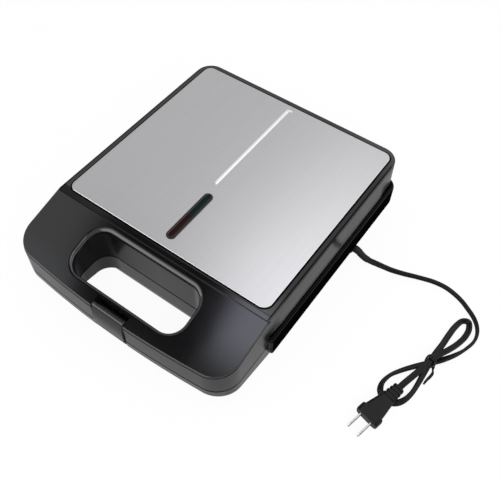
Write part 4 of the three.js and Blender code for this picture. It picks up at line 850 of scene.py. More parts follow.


# Masks of painted light on the lid's frame, the base and the latch. Painted shade turns the rails' faces,
# the wall's foot, the seam and the groove under the cover black; painted highlights make bright lines on
# the lid rail's shoulder and the rails' ends; a painted lighter flank lies above the rail; and specular
# levels are turned down inside the window as painted shade and raised on the base as painted reflection.
# A pair is a place in millimetres where a ramp starts and where it ends, or that a band fills. Only the
# base's specular levels are a pair of another kind: the first is for the front wall, the second for what
# lies behind it.
PAINTED_SHADE = (0.001, 0.001, 0.001)
RAIL_SIDE = (HALF_W + 0.1, HALF_W + 0.2)
RAIL_START = (RAIL_FRONT + 0.1, RAIL_FRONT + 0.2)
RAIL_OVER = (LID_RAIL_TOP + 0.2, LID_RAIL_TOP + 0.5)
RAIL_SHADE = 0.9
HIGHLIGHT_UPPER = (LID_RAIL_TOP - 1.2, LID_RAIL_TOP - 0.1)
HIGHLIGHT_LOWER = (LID_RAIL_TOP - 3.4, LID_RAIL_TOP - 1.8)
HIGHLIGHT_END = (RAIL_FRONT + 1.4, RAIL_FRONT + 2.4)
HIGHLIGHT_SIDE = (HALF_W + 2.4, HALF_W + 3)
HIGHLIGHT_LEVEL = 0.16
WALL_SIDE = (132, 132.5)
FOOT_LINE = (LID_RAIL_TOP, LID_RAIL_TOP + 0.8)
FOOT_FLOOR = (55.5, 55.9)
FOOT_START = (RAIL_FRONT - 1, RAIL_FRONT)
FLANK_RISE = (LID_RAIL_TOP + 1, LID_RAIL_TOP + 22)
FLANK_START = (RAIL_FRONT, RAIL_FRONT + 12)
FLANK_FLOOR = (56.5, 57.5)
FLANK_LIGHT_TONE = (0.07, 0.07, 0.075)
SEAM_BAND = (SEAM_Z - 0.5, SEAM_Z + SEAM_GAP / 2 + SEAM_GROOVE)
SEAM_UNDER = (SEAM_Z - 1.5, SEAM_Z - 0.5)
GROOVE_UNDER_COVER = (-3.6, -2.2)
GROOVE_SIDE = (130, 130.5)
WINDOW_DEEP = (WINDOW[2] - 2, WINDOW[3] + 3)
WINDOW_ACROSS = (WINDOW[0] + 8, WINDOW[0] + 75)
WINDOW_END = (75, 76)
WINDOW_HALVES = (37.5, 38)
FRONT_WALL = (WINDOW[2] - 2, WINDOW[2] - 1)
BASE_LEVELS = (0.95, 0.55)
LID_LEVEL = 0.42


def housing_plastic(tone):
    """Satin black. Painted shade turns the rails' faces, the wall's foot, the seam and the groove under the
    cover black, painted highlights make bright lines on the lid rail's shoulder and the rails' ends, a
    painted lighter flank lies above the rail, and specular levels paint shade in the window and reflection on
    the base.
    """
    made = surface("black_plastic", tone, (0.2, 0.26), grain=2600.0, depth=0.002)
    tree = made.node_tree
    x, y, z = coordinates(tree)
    wide = math_node(tree, "ABSOLUTE", x)
    # Painted shade turns the rails' faces black, all but painted highlight lines on the lid rail's shoulder
    # and at the rails' front ends, where the specular level is raised.
    rails = product(tree, fade(tree, wide, RAIL_SIDE), fade(tree, y, RAIL_START),
                    fade(tree, z, RAIL_OVER, (1, 0)))
    upper = math_node(tree, "MULTIPLY", band(tree, z, HIGHLIGHT_UPPER, 0.3), 0.4)
    end = product(tree, fade(tree, y, HIGHLIGHT_END, (0.6, 0)), fade(tree, wide, HIGHLIGHT_SIDE))
    painted_highlight = greatest(tree, upper, band(tree, z, HIGHLIGHT_LOWER, 0.4), end)
    rail_shade = product(tree, rails, inverse(tree, painted_highlight), RAIL_SHADE)
    # Painted shade at the foot of the lid's side wall, where it meets the rail.
    foot = product(tree, fade(tree, z, FOOT_LINE, (0.8, 0)), fade(tree, z, FOOT_FLOOR),
                   fade(tree, wide, WALL_SIDE), fade(tree, y, FOOT_START))
    # Painted shade in the groove under the cover's edge, along the sides.
    sloped = math_node(tree, "ADD", math_node(tree, "MULTIPLY", y, SLOPE_SHARE), SLOPE_TOP * MM)
    depth = math_node(tree, "SUBTRACT", z, math_node(tree, "MINIMUM", sloped, RIM_TOP * MM))
    groove = product(tree, band(tree, depth, GROOVE_UNDER_COVER, 0.05),
                     fade(tree, wide, GROOVE_SIDE, (0, 0.85)))
    # All the painted shade, with the seam between lid and base painted black as well.
    dark = greatest(tree, rail_shade, foot, band(tree, z, SEAM_BAND, 0.1), groove)
    # Painted shade: less reflection on the walls inside the window, most at its left and above the seam.
    window = product(tree, band(tree, y, WINDOW_DEEP, 1), fade(tree, x, WINDOW_ACROSS, (0.96, 0.22)),
                     fade(tree, wide, WINDOW_END, (1, 0)), fade(tree, z, WINDOW_HALVES, (0.45, 1)))
    # Painted reflection: a higher specular level on the base below the seam than on the lid, highest on its
    # front wall.
    halves = node(tree, "ShaderNodeMix", data_type="FLOAT")
    halves.inputs["B"].default_value = LID_LEVEL
    tree.links.new(fade(tree, z, SEAM_UNDER), halves.inputs["Factor"])
    tree.links.new(fade(tree, y, FRONT_WALL, BASE_LEVELS), halves.inputs["A"])
    plain = product(tree, halves.outputs["Result"], inverse(tree, window), inverse(tree, rails))
    level = math_node(tree, "ADD", plain, product(tree, painted_highlight, rails, HIGHLIGHT_LEVEL))
    # Painted light: the lid's side wall painted lighter just above the rail, fading out upwards.
    flank_light = product(tree, fade(tree, z, FLANK_RISE, (0.8, 0)), fade(tree, wide, WALL_SIDE),
                    fade(tree, y, FLANK_START), fade(tree, z, FLANK_FLOOR))
    mixed_towards(made, flank_light, FLANK_LIGHT_TONE)
    return shade(made, dark, level)


# The top cover's tone, as a share of the plastic's, and the places of its masks in millimetres. The masks
# paint shade: black in the pocket round the panel, in lines along both side edges and in the crease, and
# less reflection on the rim right of the panel and on the front band.
COVER_TONE_SHARE = 0.55
POCKET_FLOOR = (RIM_TOP - 0.25, RIM_TOP - 0.15)
RIGHT_RIM = (126, 127)
RIGHT_RIM_FRONT = (-94, -60)
RIGHT_RIM_BACK = (110, 155)
FRONT_BAND = (-95.5, -85.5)
FRONT_BAND_ACROSS = (-115, 0)
EDGE_LINE = (132.2, 134.3)
EDGE_LINE_FRONT = (-96, -94)
EDGE_LINE_BACK = (138, 142)
CREASE_LINE = (-95.7, -94.4)


def cover_plastic(tone):
    """Smoother black for the top cover, with painted shade: black in the groove round the panel, in lines
    along both side edges and in the crease, and less reflection on the right rim and the front band.
    """
    made = surface("cover_plastic", tuple(c * COVER_TONE_SHARE for c in tone), (0.1, 0.14), grain=1800.0,
                   depth=0.0006, vary=0.05, patches=18.0)
    tree = made.node_tree
    x, y, z = coordinates(tree)
    wide = math_node(tree, "ABSOLUTE", x)
    reach = PANEL_GROOVE + GAP
    # Painted shade: the floor of the pocket round the panel turns black.
    groove = product(tree, band(tree, x, (PANEL[0] - reach, PANEL[1] + reach), 0.05),
                     band(tree, y, (PANEL[2] - reach, PANEL[3] + reach), 0.05),
                     fade(tree, z, POCKET_FLOOR, (1, 0)))
    # Painted shade: less reflection on the rim right of the panel and on the front band, and black lines
    # along both side edges and in the crease.
    right = product(tree, fade(tree, x, RIGHT_RIM), fade(tree, y, RIGHT_RIM_BACK, (0.6, 0)),
                    fade(tree, y, RIGHT_RIM_FRONT))
    front = product(tree, band(tree, y, FRONT_BAND, 0.6), fade(tree, x, FRONT_BAND_ACROSS, (0.7, 0)))
    edge = product(tree, band(tree, wide, EDGE_LINE, 0.3), fade(tree, y, EDGE_LINE_FRONT, (0, 0.75)),
                   fade(tree, y, EDGE_LINE_BACK, (1, 0)))
    crease = math_node(tree, "MULTIPLY", band(tree, y, CREASE_LINE, 0.1), 0.6)
    glossy = inverse(tree, greatest(tree, right, front))
    return shade(made, greatest(tree, groove, edge, crease), math_node(tree, "MULTIPLY", glossy, 0.5))


def pale_line_mask(tree):
    """One along the panel's raised line and its bend, fading softly at both ends."""
    x, y, _ = coordinates(tree)
    x0, x1, y0, y1 = LINE
    soft = 1.3
    line = product(tree, band(tree, x, (x0, x1), soft), band(tree, y, (y0, y1), 4 * soft))
    bend = product(tree, band(tree, x, (x0, x1 + LINE_HOOK), 2 * soft),
                   band(tree, y, (y1 - (x1 - x0), y1), 2 * soft))
    return greatest(tree, line, bend)


def brushed_steel(tone, line):
    """Steel brushed from front to back, with a frosted line that is less metallic."""
    made = surface("brushed_steel", tone, (0.285, 0.295), grain=700.0, depth=0.00002, vary=0.015,
                   patches=30.0, stretch=(1, 0.015, 1), metallic=1.0)
    mask = pale_line_mask(made.node_tree)
    mixed_towards(made, mask, line)
    shader = made.node_tree.nodes["Principled BSDF"]
    made.node_tree.links.new(ramp(made.node_tree, mask, 0, 1, 1.0, 0.3), shader.inputs["Metallic"])
    return made


def lens_surface(name, tone):
    return surface(name, tone, (0.16, 0.24), grain=1500.0, depth=0.01, vary=0.25, patches=300.0,
                   stretch=(1, 0.12, 1), specular_ior_level=0.02)


def make_surfaces(finish):
    SURFACES.clear()
    grain_group()
    black, sheath = tuple(finish.plastic), tuple(finish.sheath)
    housing_plastic(black)
    cover_plastic(black)
    surface("gloss_black", tuple(c * 0.6 for c in black), (0.12, 0.18), grain=900.0, depth=0.002,
            specular_ior_level=0.25)
    surface("rubber", (0.008, 0.008, 0.0085), (0.55, 0.7), grain=1600.0, specular_ior_level=0.2)
    surface("cord_black", sheath, (0.3, 0.38), grain=1400.0, depth=0.008, specular_ior_level=0.14)
    brushed_steel(tuple(finish.steel), tuple(finish.pale_line))
    surface("plated_steel", (0.6, 0.6, 0.61), (0.18, 0.28), grain=1200.0, depth=0.004, vary=0.08,
            metallic=1.0)
    surface("blade_metal", (0.36, 0.345, 0.32), (0.24, 0.34), grain=1800.0, depth=0.004, vary=0.08,
            metallic=1.0)
    surface("nonstick", tuple(finish.coating), (0.34, 0.46), grain=1500.0, depth=0.03, vary=0.3, metallic=0.3)
    surface("aluminium", (0.6, 0.6, 0.61), (0.34, 0.48), grain=900.0, depth=0.01, vary=0.08, metallic=1.0)
    surface("heater_sheath", (0.32, 0.31, 0.3), (0.4, 0.55), grain=700.0, vary=0.2, metallic=0.9)
    surface("ceramic", (0.72, 0.69, 0.62), (0.55, 0.7), grain=900.0, depth=0.03, vary=0.06)
    lens_surface("red_lens", tuple(finish.red))
    lens_surface("green_lens", tuple(finish.green))
    surface("lamp_glass", (0.9, 0.87, 0.8), (0.05, 0.1), grain=500.0, depth=0.002, vary=0.02,
            transmission_weight=0.8)


# Housings


def cover_sheet(name, outline_at, top, edge):
    """A sheet of the cover's thickness with a rounded upper edge, draped on a surface."""
    rings = [at(outline_at(DRAFT), below(top, COVER_T))]
    for turn in np.radians(np.linspace(0, 90, 8)):
        inset, drop = edge * (1 - math.cos(turn)), edge * (1 - math.sin(turn))
        rings.append(at(outline_at(DRAFT + inset), below(top, drop)))
    return loft(name, rings)


def window_lip(name, width, depth):
    rings = [at(window_outline(width), below(slope_top, -COVER_T))]
    for turn in np.radians(np.linspace(0, 90, 12)):
        out, drop = width * (1 - math.sin(turn)), depth * (1 - math.cos(turn))
        rings.append(at(window_outline(out), below(slope_top, drop)))
    rings.append(at(window_outline(0), 0))
    return loft(name, rings)


def top_cover(sizes):
    edge = sizes.edge_radius / MM
    crease_back = CREASE_Y + CREASE_W
    grip = cover_sheet("top_cover", lambda i: grip_outline(i, CREASE_Y - i + DRAFT), slope_top, edge)
    rim = cover_sheet("rim", lambda i: rim_outline(i, crease_back + i - DRAFT), lambda _: RIM_TOP, edge)
    low = RIM_TOP - COVER_T - edge
    front, back = CREASE_Y - BRIDGE_HALF, CREASE_Y + BRIDGE_HALF
    bridge_x = HALF_W - DRAFT - COVER_T
    bridge = block("bridge", -bridge_x, bridge_x, front, back, low, slope_top(front) - BRIDGE_SINK)
    fill_x = HALF_W - DRAFT - GAP
    fill_top = slope_top(CREASE_Y) - FILL_SINK
    fill = block("fill", -fill_x, fill_x, CREASE_Y - GAP, crease_back + GAP, low, fill_top)
    start, end = crease_back - CREASE_W / 2, PANEL[2] - PANEL_GROOVE
    slope = [(start, fill_top), (end, RIM_TOP), (end, ABOVE), (start, ABOVE)]
    combine(rim, "DIFFERENCE", prism_x("slope", slope, -HALF_W, HALF_W))
    wall = window_outline(WALL)
    collar = loft("collar", [at(wall, below(slope_top, drop)) for drop in (COVER_COLLAR, COVER_T / 2)])
    combine(grip, "UNION", rim, bridge, fill, collar)
    slot_half = LATCH_HALF_W + LATCH_GAP
    combine(
        grip, "DIFFERENCE",
        prism("pocket", panel_outline(-PANEL_GROOVE), RIM_TOP - POCKET_DEPTH, ABOVE),
        prism("hole", panel_outline(PANEL_LEDGE), 0, ABOVE),
        window_lip("lip", sizes.lip_width / MM, sizes.lip_depth / MM),
        block("slot", -slot_half, slot_half, -FAR, LATCH_RECESS_Y, 0, ABOVE),
    )
    return smooth(grip, 28)


def cover_room(name, drop):
    """Everything above the cover's underside, lowered by drop."""
    ledge, root = CREASE_Y - BRIDGE_HALF - GAP, CREASE_Y + BRIDGE_HALF + GAP
    under = COVER_T + GAP + drop
    bridge_low = RIM_TOP - COVER_T - COVER_EDGE - GAP - drop
    return prism_x(name, [
        (-FAR, slope_top(-FAR) - under), (ledge, slope_top(ledge) - under), (ledge, bridge_low),
        (root, bridge_low), (root, RIM_TOP - under), (FAR, RIM_TOP - under), (FAR, ABOVE), (-FAR, ABOVE),
    ], -FAR, FAR)


def rail(profile, corner):
    """Both side rails, from a profile of (height, bevel) and the shape of their front ends."""
    made = loft("rail", [at(rail_outline(bevel), z) for z, bevel in profile])
    low, high = profile[0][0], profile[-1][0]
    zone = prism_x("zone", [*corner, (FAR, high), (FAR, low)], -FAR, FAR)
    combine(made, "INTERSECT", zone)
    return combine(made, "DIFFERENCE", prism("inside", plan_outline(WALL / 2), 0, ABOVE))


def lid_rail(low):
    shoulder = LID_RAIL_TOP - RAIL_SHOULDER
    rounding = [(shoulder + share * RAIL_SHOULDER, bevel) for share, bevel in RAIL_ROUNDING]
    r = RAIL_FRONT_R
    corner = [(RAIL_FRONT, low), *arc(RAIL_FRONT + r, LID_RAIL_TOP - r, r, 180, 90, 12)]
    return rail([(low, RAIL_CHAMFER), (low + RAIL_CHAMFER, 0), *rounding], corner)


def base_rail(high):
    rounding = []
    for turn in np.radians((0, 22, 45, 68, 90)):
        z = BASE_RAIL_LOW + RAIL_BEVEL * (1 - math.cos(turn))
        rounding.append((z, RAIL_BEVEL * (1 - math.sin(turn))))
    r = RAIL_FRONT_R
    corner = [*arc(RAIL_FRONT + r, BASE_RAIL_LOW + r, r, 270, 180, 12), (RAIL_FRONT, high)]
    return rail([*rounding, (high - RAIL_CHAMFER, 0), (high, RAIL_CHAMFER)], corner)


def flares():
    """The slight outward slope of the lid's side walls above the rails."""
    wall = HALF_W - DRAFT - FLARE_SINK
    low, foot = LID_RAIL_TOP - FLARE_OVERLAP, LID_RAIL_TOP + FLARE_FOOT
    made = []
    for side in (-1, 1):
        rings = []
        for y, share in FLARE_PLACES:
            x = part_way(share, wall + FLARE_LEAST, HALF_W + FLARE_OUT)
            top = LID_RAIL_TOP + FLARE_OVERLAP + FLARE_RISE * share
            rings.append([(side * out, y, z) for out, z in ((wall, low), (x, low), (x, foot), (wall, top))])
        made.append(loft("flare", rings))
    return made


def knuckles(spans, arm):
    """Hinge barrels over spans of x, each with an arm that reaches into the wall."""
    made = []
    for x0, x1 in spans:
        made += [rod_x("barrel", HINGE_R, *HINGE, x0, x1), prism_x("arm", arm, x0, x1)]
    return made


def hinge_bores():
    reach = LID_KNUCKLE_HALF + RUN_GAP + BASE_KNUCKLE_W + GAP
    pins = [rod_x("bore", HINGE_PIN_R + GAP, *HINGE, x - reach, x + reach) for x in (-HINGE_X, HINGE_X)]
    return [*pins, rod_x("bore", SLEEVE_R + GAP, *HINGE, -2 * SLEEVE_HALF, 2 * SLEEVE_HALF)]


def plate_hole(low, high):
    return prism("plate_hole", rounded_rect(PLATE, PLATE_R, -PLATE_GAP), low, high)


def around_plate(x, y):
    return [(side * x, PLATE_Y + back * y) for side in (-1, 1) for back in (-1, 1)]


def screw_bores():
    return [rod_z("bore", SCREW_R + GAP, x, y, 0, ABOVE, 20) for x, y in around_plate(POST_X, POST_Y)]


def lid_housing():
    low = SEAM_Z + SEAM_GAP / 2
    deck = low + DECK_T
    rings = [at(plan_outline(inset), low + up) for inset, up in SEAM_RINGS]
    shell = loft("lid_housing", [*rings, at(plan_outline(DRAFT), RIM_TOP)])
    x = HALF_W - DRAFT - WALL
    room = (-x, x, WINDOW[3] + WALL, BACK_Y - DRAFT - WALL)
    core = prism("core", rounded_rect(room, BACK_R - WALL), deck, ABOVE)
    grip = prism("grip", grip_outline(DRAFT + WALL, WINDOW[3] - GAP), deck, ABOVE)
    half = LATCH_HALF_W + LATCH_GAP + LATCH_BLOCK
    combine(grip, "DIFFERENCE", prism("wall", window_outline(WALL), 0, FAR),
            block("latch_block", -half, half, -FAR, WINDOW[2], 0, FAR))
    groove = cover_room("groove", SEAM_GROOVE)
    combine(groove, "DIFFERENCE", prism("kept", plan_outline(DRAFT + SEAM_GROOVE), -FAR, FAR))
    combine(shell, "DIFFERENCE", core, grip, plate_hole(0, ABOVE), cover_room("room", 0), groove)
    wall_x = HALF_W - DRAFT - WALL / 2
    ledge = SEAM_Z + LAND_GAP / 2 + PLATE_SKIN + GAP
    brackets = [
        *[(*p, POST_X - BRACKET_HALF, BRACKET_HALF, ledge + BRACKET_T) for p in around_plate(POST_X, POST_Y)],
        *[(*p, LID_POST_X, STANDOFF_R / 2, LID_POST_TOP) for p in around_plate(POST_X, STANDOFF_Y)],
    ]
    inner = []
    for x, y, reach, half, high in brackets:
        ends = sorted((math.copysign(reach, x), math.copysign(wall_x, x)))
        inner.append(block("bracket", *ends, y - half, y + half, ledge, high))
    out = HINGE_R * math.sqrt(0.5)
    arm = [(BACK_Y - WALL / 2, low), (HINGE[0], low), (HINGE[0] + out, HINGE[1] + out),
           (BACK_Y - WALL / 2, HINGE[1] + HINGE_WEB)]
    half = LID_KNUCKLE_HALF
    spans = [(-HINGE_X - half, half - HINGE_X), (HINGE_X - half, HINGE_X + half), (RUN_GAP / 2, SLEEVE_HALF)]
    combine(shell, "UNION", lid_rail(low), *flares(), *knuckles(spans, arm), *inner)
    collar = window_outline(WALL + GAP)
    slot_half = LATCH_HALF_W + LATCH_GAP
    combine(
        shell, "DIFFERENCE",
        prism("window", window_outline(0), 0, ABOVE),
        prism("notch", window_outline(NOTCH), 0, low + SEAM_GROOVE),
        loft("collar", [at(collar, below(slope_top, COVER_COLLAR + 4 * GAP)), at(collar, ABOVE)]),
        block("slot", -slot_half, slot_half, -FAR, LATCH_RECESS_Y, 0, ABOVE),
        rod_x("pin", LATCH_PIN_R + GAP, *LATCH_PIVOT, -LATCH_PIN_HALF - GAP, LATCH_PIN_HALF + GAP),
        *hinge_bores(), *screw_bores(),
    )
    return smooth(shell, 30)


def tub(name, inset, low, high):
    shares = curve_through(TUB_TUCK, 4)
    return loft(name, [at(tub_outline(inset, tuck), low + up * (high - low)) for up, tuck in shares])


def grip_base(high):
    rings = []
    for turn in np.radians(np.linspace(0, 90, 9)):
        inset, lift = GRIP_EDGE * (1 - math.sin(turn)), GRIP_EDGE * (1 - math.cos(turn))
        rings.append(at(grip_outline(inset, GRIP_ROOT_Y), below(grip_underside, -lift)))
    return loft("grip_base", [*rings, at(grip_outline(0, GRIP_ROOT_Y), high)])


def base_housing():
    high, floor = SEAM_Z - SEAM_GAP / 2, BASE_Z + BASE_FLOOR
    shell = tub("base_housing", 0, BASE_Z, high)
    combine(shell, "UNION", grip_base(high))
    combine(shell, "DIFFERENCE", tub("inside", WALL, floor, high - DECK_T),
            plate_hole(high - DECK_T - GAP, ABOVE))
    plate_low = SEAM_Z - LAND_GAP / 2 - PLATE_SKIN - GAP
    posts = [rod_z("post", POST_R, x, y, floor - GAP, plate_low) for x, y in around_plate(POST_X, POST_Y)]
    posts += [rod_z("post", STANDOFF_R, x, y, floor - GAP, STANDOFF_TOP)
              for x, y in around_plate(STANDOFF_X, STANDOFF_Y)]
    out = HINGE_R * math.sqrt(0.5)
    arm = [(BACK_Y - WALL / 2, HINGE[1] - HINGE_WEB), (HINGE[0] + out, HINGE[1] - out), (HINGE[0], high),
           (BACK_Y - WALL / 2, high)]
    near, far = LID_KNUCKLE_HALF + RUN_GAP, LID_KNUCKLE_HALF + RUN_GAP + BASE_KNUCKLE_W
    spans = [(x + a, x + b) for x in (-HINGE_X, HINGE_X) for a, b in ((-far, -near), (near, far))]
    combine(shell, "UNION", base_rail(high), *knuckles([*spans, (-SLEEVE_HALF, -RUN_GAP / 2)], arm), *posts)
    half = LATCH_HALF_W + LATCH_GAP
    inner = half - LATCH_BLOCK / 2
    seat = BASE_Z + SCREW_HEAD_H
    combine(
        shell, "DIFFERENCE",
        prism("window", window_outline(0), 0, ABOVE),
        prism("notch", window_outline(NOTCH), high - SEAM_GAP, ABOVE),
        block("catch_room", -half, half, -FAR, CATCH_Y, 0, ABOVE),
        block("catch", -inner, inner, -FAR, CATCH_Y + CATCH_DEPTH, 0, CATCH_Z),
        *hinge_bores(), *screw_bores(),
        *[rod_z("head_room", SCREW_HEAD_R + GAP, x, y, 0, seat, 24) for x, y in around_plate(POST_X, POST_Y)],
        *[rod_z("foot_room", FOOT_TOP_R + 2 * GAP, x, y, 0, FOOT_H + GAP) for x, y in FOOT_PLACES],
        rod_x("cord_bore", BUSH_R + GAP, EXIT[1], EXIT[2], HALF_W - BUSH_REACH, HALF_W + BUSH_REACH),
    )
    return smooth(shell, 30)


# Steel panel and indicator


def raised_line(name, bounds, height):
    radius = (bounds[1] - bounds[0]) / 2
    rings = [at(rounded_rect(bounds, radius, 0, 8), PANEL_TOP - PANEL_SHEET / 2)]
    for turn in np.radians(np.linspace(0, 84, 7)):
        inset = (radius - LINE_FLAT) * math.sin(turn) * LINE_CROWN
        rings.append(at(rounded_rect(bounds, radius, inset, 8), PANEL_TOP + height * math.sin(turn)))
    return loft(name, rings)


def steel_panel(sizes):
    low = PANEL_TOP - PANEL_SKIRT
    rings = [at(panel_outline(0), low)]
    for turn in np.radians(np.linspace(0, 90, 9)):
        inset, drop = PANEL_EDGE * (1 - math.cos(turn)), PANEL_EDGE * (1 - math.sin(turn))
        rings.append(at(panel_outline(inset), PANEL_TOP - drop))
    panel = loft("steel_panel_sheet", rings)
    inside = prism("inside", panel_outline(PANEL_SHEET), low - 1, PANEL_TOP - PANEL_SHEET)
    combine(panel, "DIFFERENCE", inside)
    x0, x1, _, y1 = LINE
    height = sizes.line_height / MM
    bend = (x0, x1 + LINE_HOOK, y1 - (x1 - x0), y1)
    combine(panel, "UNION", raised_line("line", LINE, height), raised_line("bend", bend, height))
    hole = slot_outline(BEZEL_RIM / 2 - GAP)
    flare = slot_outline(BEZEL_RIM / 2 - GAP - SLOT_FLARE)
    combine(panel, "DIFFERENCE", loft("cut", [
        at(hole, PANEL_TOP - BEZEL_DEPTH), at(hole, PANEL_TOP - GAP),
        at(flare, PANEL_TOP + SLOT_FLARE_TOP), at(flare, ABOVE),
    ]))
    return smooth(panel, 30)


def indicator_ring():
    """The bezel, a closed ring with a rounded top."""
    low = PANEL_TOP - BEZEL_DEPTH
    section = [(BEZEL_RIM / 2, low), (BEZEL_RIM / 2, PANEL_TOP + GAP)]
    section += [(inset, PANEL_TOP + up * BEZEL_PROUD) for inset, up in BEZEL_SECTION]
    section += [(BEZEL_RIM, PANEL_TOP - BEZEL_PROUD), (BEZEL_RIM, low)]
    rings = [at(slot_outline(inset), z) for inset, z in section]
    faces = skin(len(rings), len(rings[0]), closed=True)
    ring = solid("indicator_ring", [point for ring in rings for point in ring], faces)
    return smooth(ring, 50, weighted=False)


def indicator_lens(name, back):
    top = PANEL_TOP + BEZEL_PROUD - LENS_SINK
    inset = BEZEL_RIM + GAP
    rings = [at(slot_outline(inset), top - LENS_DEPTH)]
    for share, drop in LENS_SECTION:
        rings.append(at(slot_outline(inset + share), top - drop))
    lens = loft(name, rings)
    middle = (SLOT[2] + SLOT[3]) / 2
    low, high = (middle + GAP / 2, FAR) if back else (-FAR, middle - GAP / 2)
    combine(lens, "INTERSECT", block("half", -FAR, FAR, low, high, 0, ABOVE))
    return smooth(lens, 40, weighted=False)


# Latch


def latch_profile():
    height = LATCH_TOP - LATCH_LOW
    crest_y = LATCH_PIVOT[0] - LATCH_HUB_R / 2
    front = [(LATCH_FRONT - out * LATCH_BULGE, LATCH_LOW + up * height) for up, out in LATCH_CURVE]
    front += [(crest_y - LATCH_SHOULDER, LATCH_TOP - LATCH_SKIN / 3), (crest_y - LATCH_SKIN / 2, LATCH_TOP),
              (crest_y, LATCH_TOP - LATCH_SKIN / 4)]
    inner = LATCH_FRONT + LATCH_SKIN
    tooth = CATCH_Y - GAP
    back = [
        (crest_y + LATCH_SKIN / 4, LATCH_PIVOT[1] + LATCH_HUB_R / 2), (crest_y, LATCH_PIVOT[1] - LATCH_HUB_R),
        (inner - GAP, LATCH_PIVOT[1] - LATCH_HUB_R * 2), (inner - GAP, CATCH_Z + TOOTH),
        (tooth, CATCH_Z - GAP), (tooth, LATCH_LOW + TOOTH / 2), (tooth - TOOTH / 2, LATCH_LOW),
    ]
    return curve_through(front, 5) + back


def curve_through(points, steps):
    """Points along a smooth curve through the given ones, in any number of dimensions."""
    given = np.array(points, float)
    ends = [2 * given[0] - given[1], *given, 2 * given[-1] - given[-2]]
    made = []
    for p0, p1, p2, p3 in zip(ends, ends[1:], ends[2:], ends[3:]):
        made += [cubic(p0, p1, p2, p3, t) for t in np.arange(steps) / steps]
    return [tuple(float(c) for c in p) for p in [*made, given[-1]]]


def cubic(p0, p1, p2, p3, t):
    """A centripetal curve from p1 to p2, which doesn't overshoot where points lie close together."""
    d0, d1, d2 = (max(np.linalg.norm(b - a), 1e-8) ** 0.5 for a, b in ((p0, p1), (p1, p2), (p2, p3)))
    m1 = ((p1 - p0) / d0 - (p2 - p0) / (d0 + d1) + (p2 - p1) / d1) * d1
    m2 = ((p2 - p1) / d1 - (p3 - p1) / (d1 + d2) + (p3 - p2) / d2) * d1
    return p1 + m1 * t + (-3 * p1 + 3 * p2 - 2 * m1 - m2) * t ** 2 + (2 * p1 - 2 * p2 + m1 + m2) * t ** 3


def latch():
    outline = latch_profile()
    far_side = [(2 * LATCH_HALF_W - side, bevel) for side, bevel in reversed(LATCH_SIDES)]
    rings = []
    for side, bevel in LATCH_SIDES + far_side:
        ring = []
        for y, z in outline:
            eased_y = y + bevel if y < LATCH_FRONT + LATCH_SKIN / 2 else y
            eased_z = z - bevel / 2 if z > LATCH_TOP - LATCH_SKIN else z
            ring.append((eased_y, eased_z, side - LATCH_HALF_W))
        rings.append(ring)
    clip = loft("latch_lever", rings, along_x)
    combine(clip, "UNION", rod_x("hub", LATCH_HUB_R, *LATCH_PIVOT, -LATCH_HUB_HALF, LATCH_HUB_HALF))
    combine(clip, "DIFFERENCE", rod_x("bore", LATCH_PIN_R + GAP, *LATCH_PIVOT, -FAR, FAR))
    return smooth(clip, 34)


# Baking plates


def from_seam(side, height):
    return SEAM_Z + side * (LAND_GAP / 2 + height)


def inside_outline(point, outline):
    x, y = point
    found = False
    for (ax, ay), (bx, by) in zip(outline, outline[1:] + outline[:1]):
        if (ay > y) != (by > y) and x < (bx - ax) * (y - ay) / (by - ay) + ax:
            found = not found
    return found


def stud_places(half):
    """Places in one heart where a stud of that half width stands whole on the cavity's floor."""
    floor = heart_outline(CAVITY_DRAFT + STUD_CLEAR, 9)
    tests = [(a, b) for a in (-1, 0, 1) for b in (-1, 0, 1)]
    places = []
    for step in range(GRID_COLUMNS):
        u = GRID_FIRST + step * GRID_PITCH
        for row in range(-GRID_ROWS, GRID_ROWS + 1):
            v = row * GRID_PITCH
            if all(inside_outline((u + a * half, v + b * half), floor) for a, b in tests):
                places.append((u, v))
    return places


def group_tree(name, inputs):
    tree = bpy.data.node_groups.new(name, "GeometryNodeTree")
    tree.interface.new_socket(name="Geometry", in_out="INPUT", socket_type="NodeSocketGeometry")
    for label, kind, default in inputs:
        made = tree.interface.new_socket(name=label, in_out="INPUT", socket_type=kind)
        if default is not None:
            made.default_value = default
    tree.interface.new_socket(name="Geometry", in_out="OUTPUT", socket_type="NodeSocketGeometry")
    return tree, node(tree, "NodeGroupInput"), node(tree, "NodeGroupOutput")


def scatter(name, places, tree, values):
    """The mesh that a tree makes on points: one point for each place, turned by its attribute."""
    mesh = bpy.data.meshes.new(name)
    mesh.from_pydata([[c * MM for c in place[:3]] for place in places], [], [])
    turn = mesh.attributes.new("turn", "FLOAT_VECTOR", "POINT")
    turn.data.foreach_set("vector", [c for place in places for c in place[3]])
    made = new_object(name, mesh)
    step = made.modifiers.new("repeat", "NODES")
    step.node_group = tree
    ids = {item.name: item.identifier for item in tree.interface.items_tree if item.in_out == "INPUT"}
    for label, value in values.items():
        step[ids[label]] = value
    return settle(made)


def instance_nodes(tree, start, end, geometry):
    turn = node(tree, "GeometryNodeInputNamedAttribute", data_type="FLOAT_VECTOR")
    turn.inputs["Name"].default_value = "turn"
    spread = node(tree, "GeometryNodeInstanceOnPoints")
    real = node(tree, "GeometryNodeRealizeInstances")
    paint = node(tree, "GeometryNodeSetMaterial")
    tree.links.new(start.outputs["Geometry"], spread.inputs["Points"])
    tree.links.new(geometry, spread.inputs["Instance"])
    tree.links.new(turn.outputs[0], spread.inputs["Rotation"])
    tree.links.new(spread.outputs[0], real.inputs[0])
    tree.links.new(real.outputs[0], paint.inputs["Geometry"])
    tree.links.new(start.outputs["Material"], paint.inputs["Material"])
    tree.links.new(paint.outputs[0], end.inputs["Geometry"])


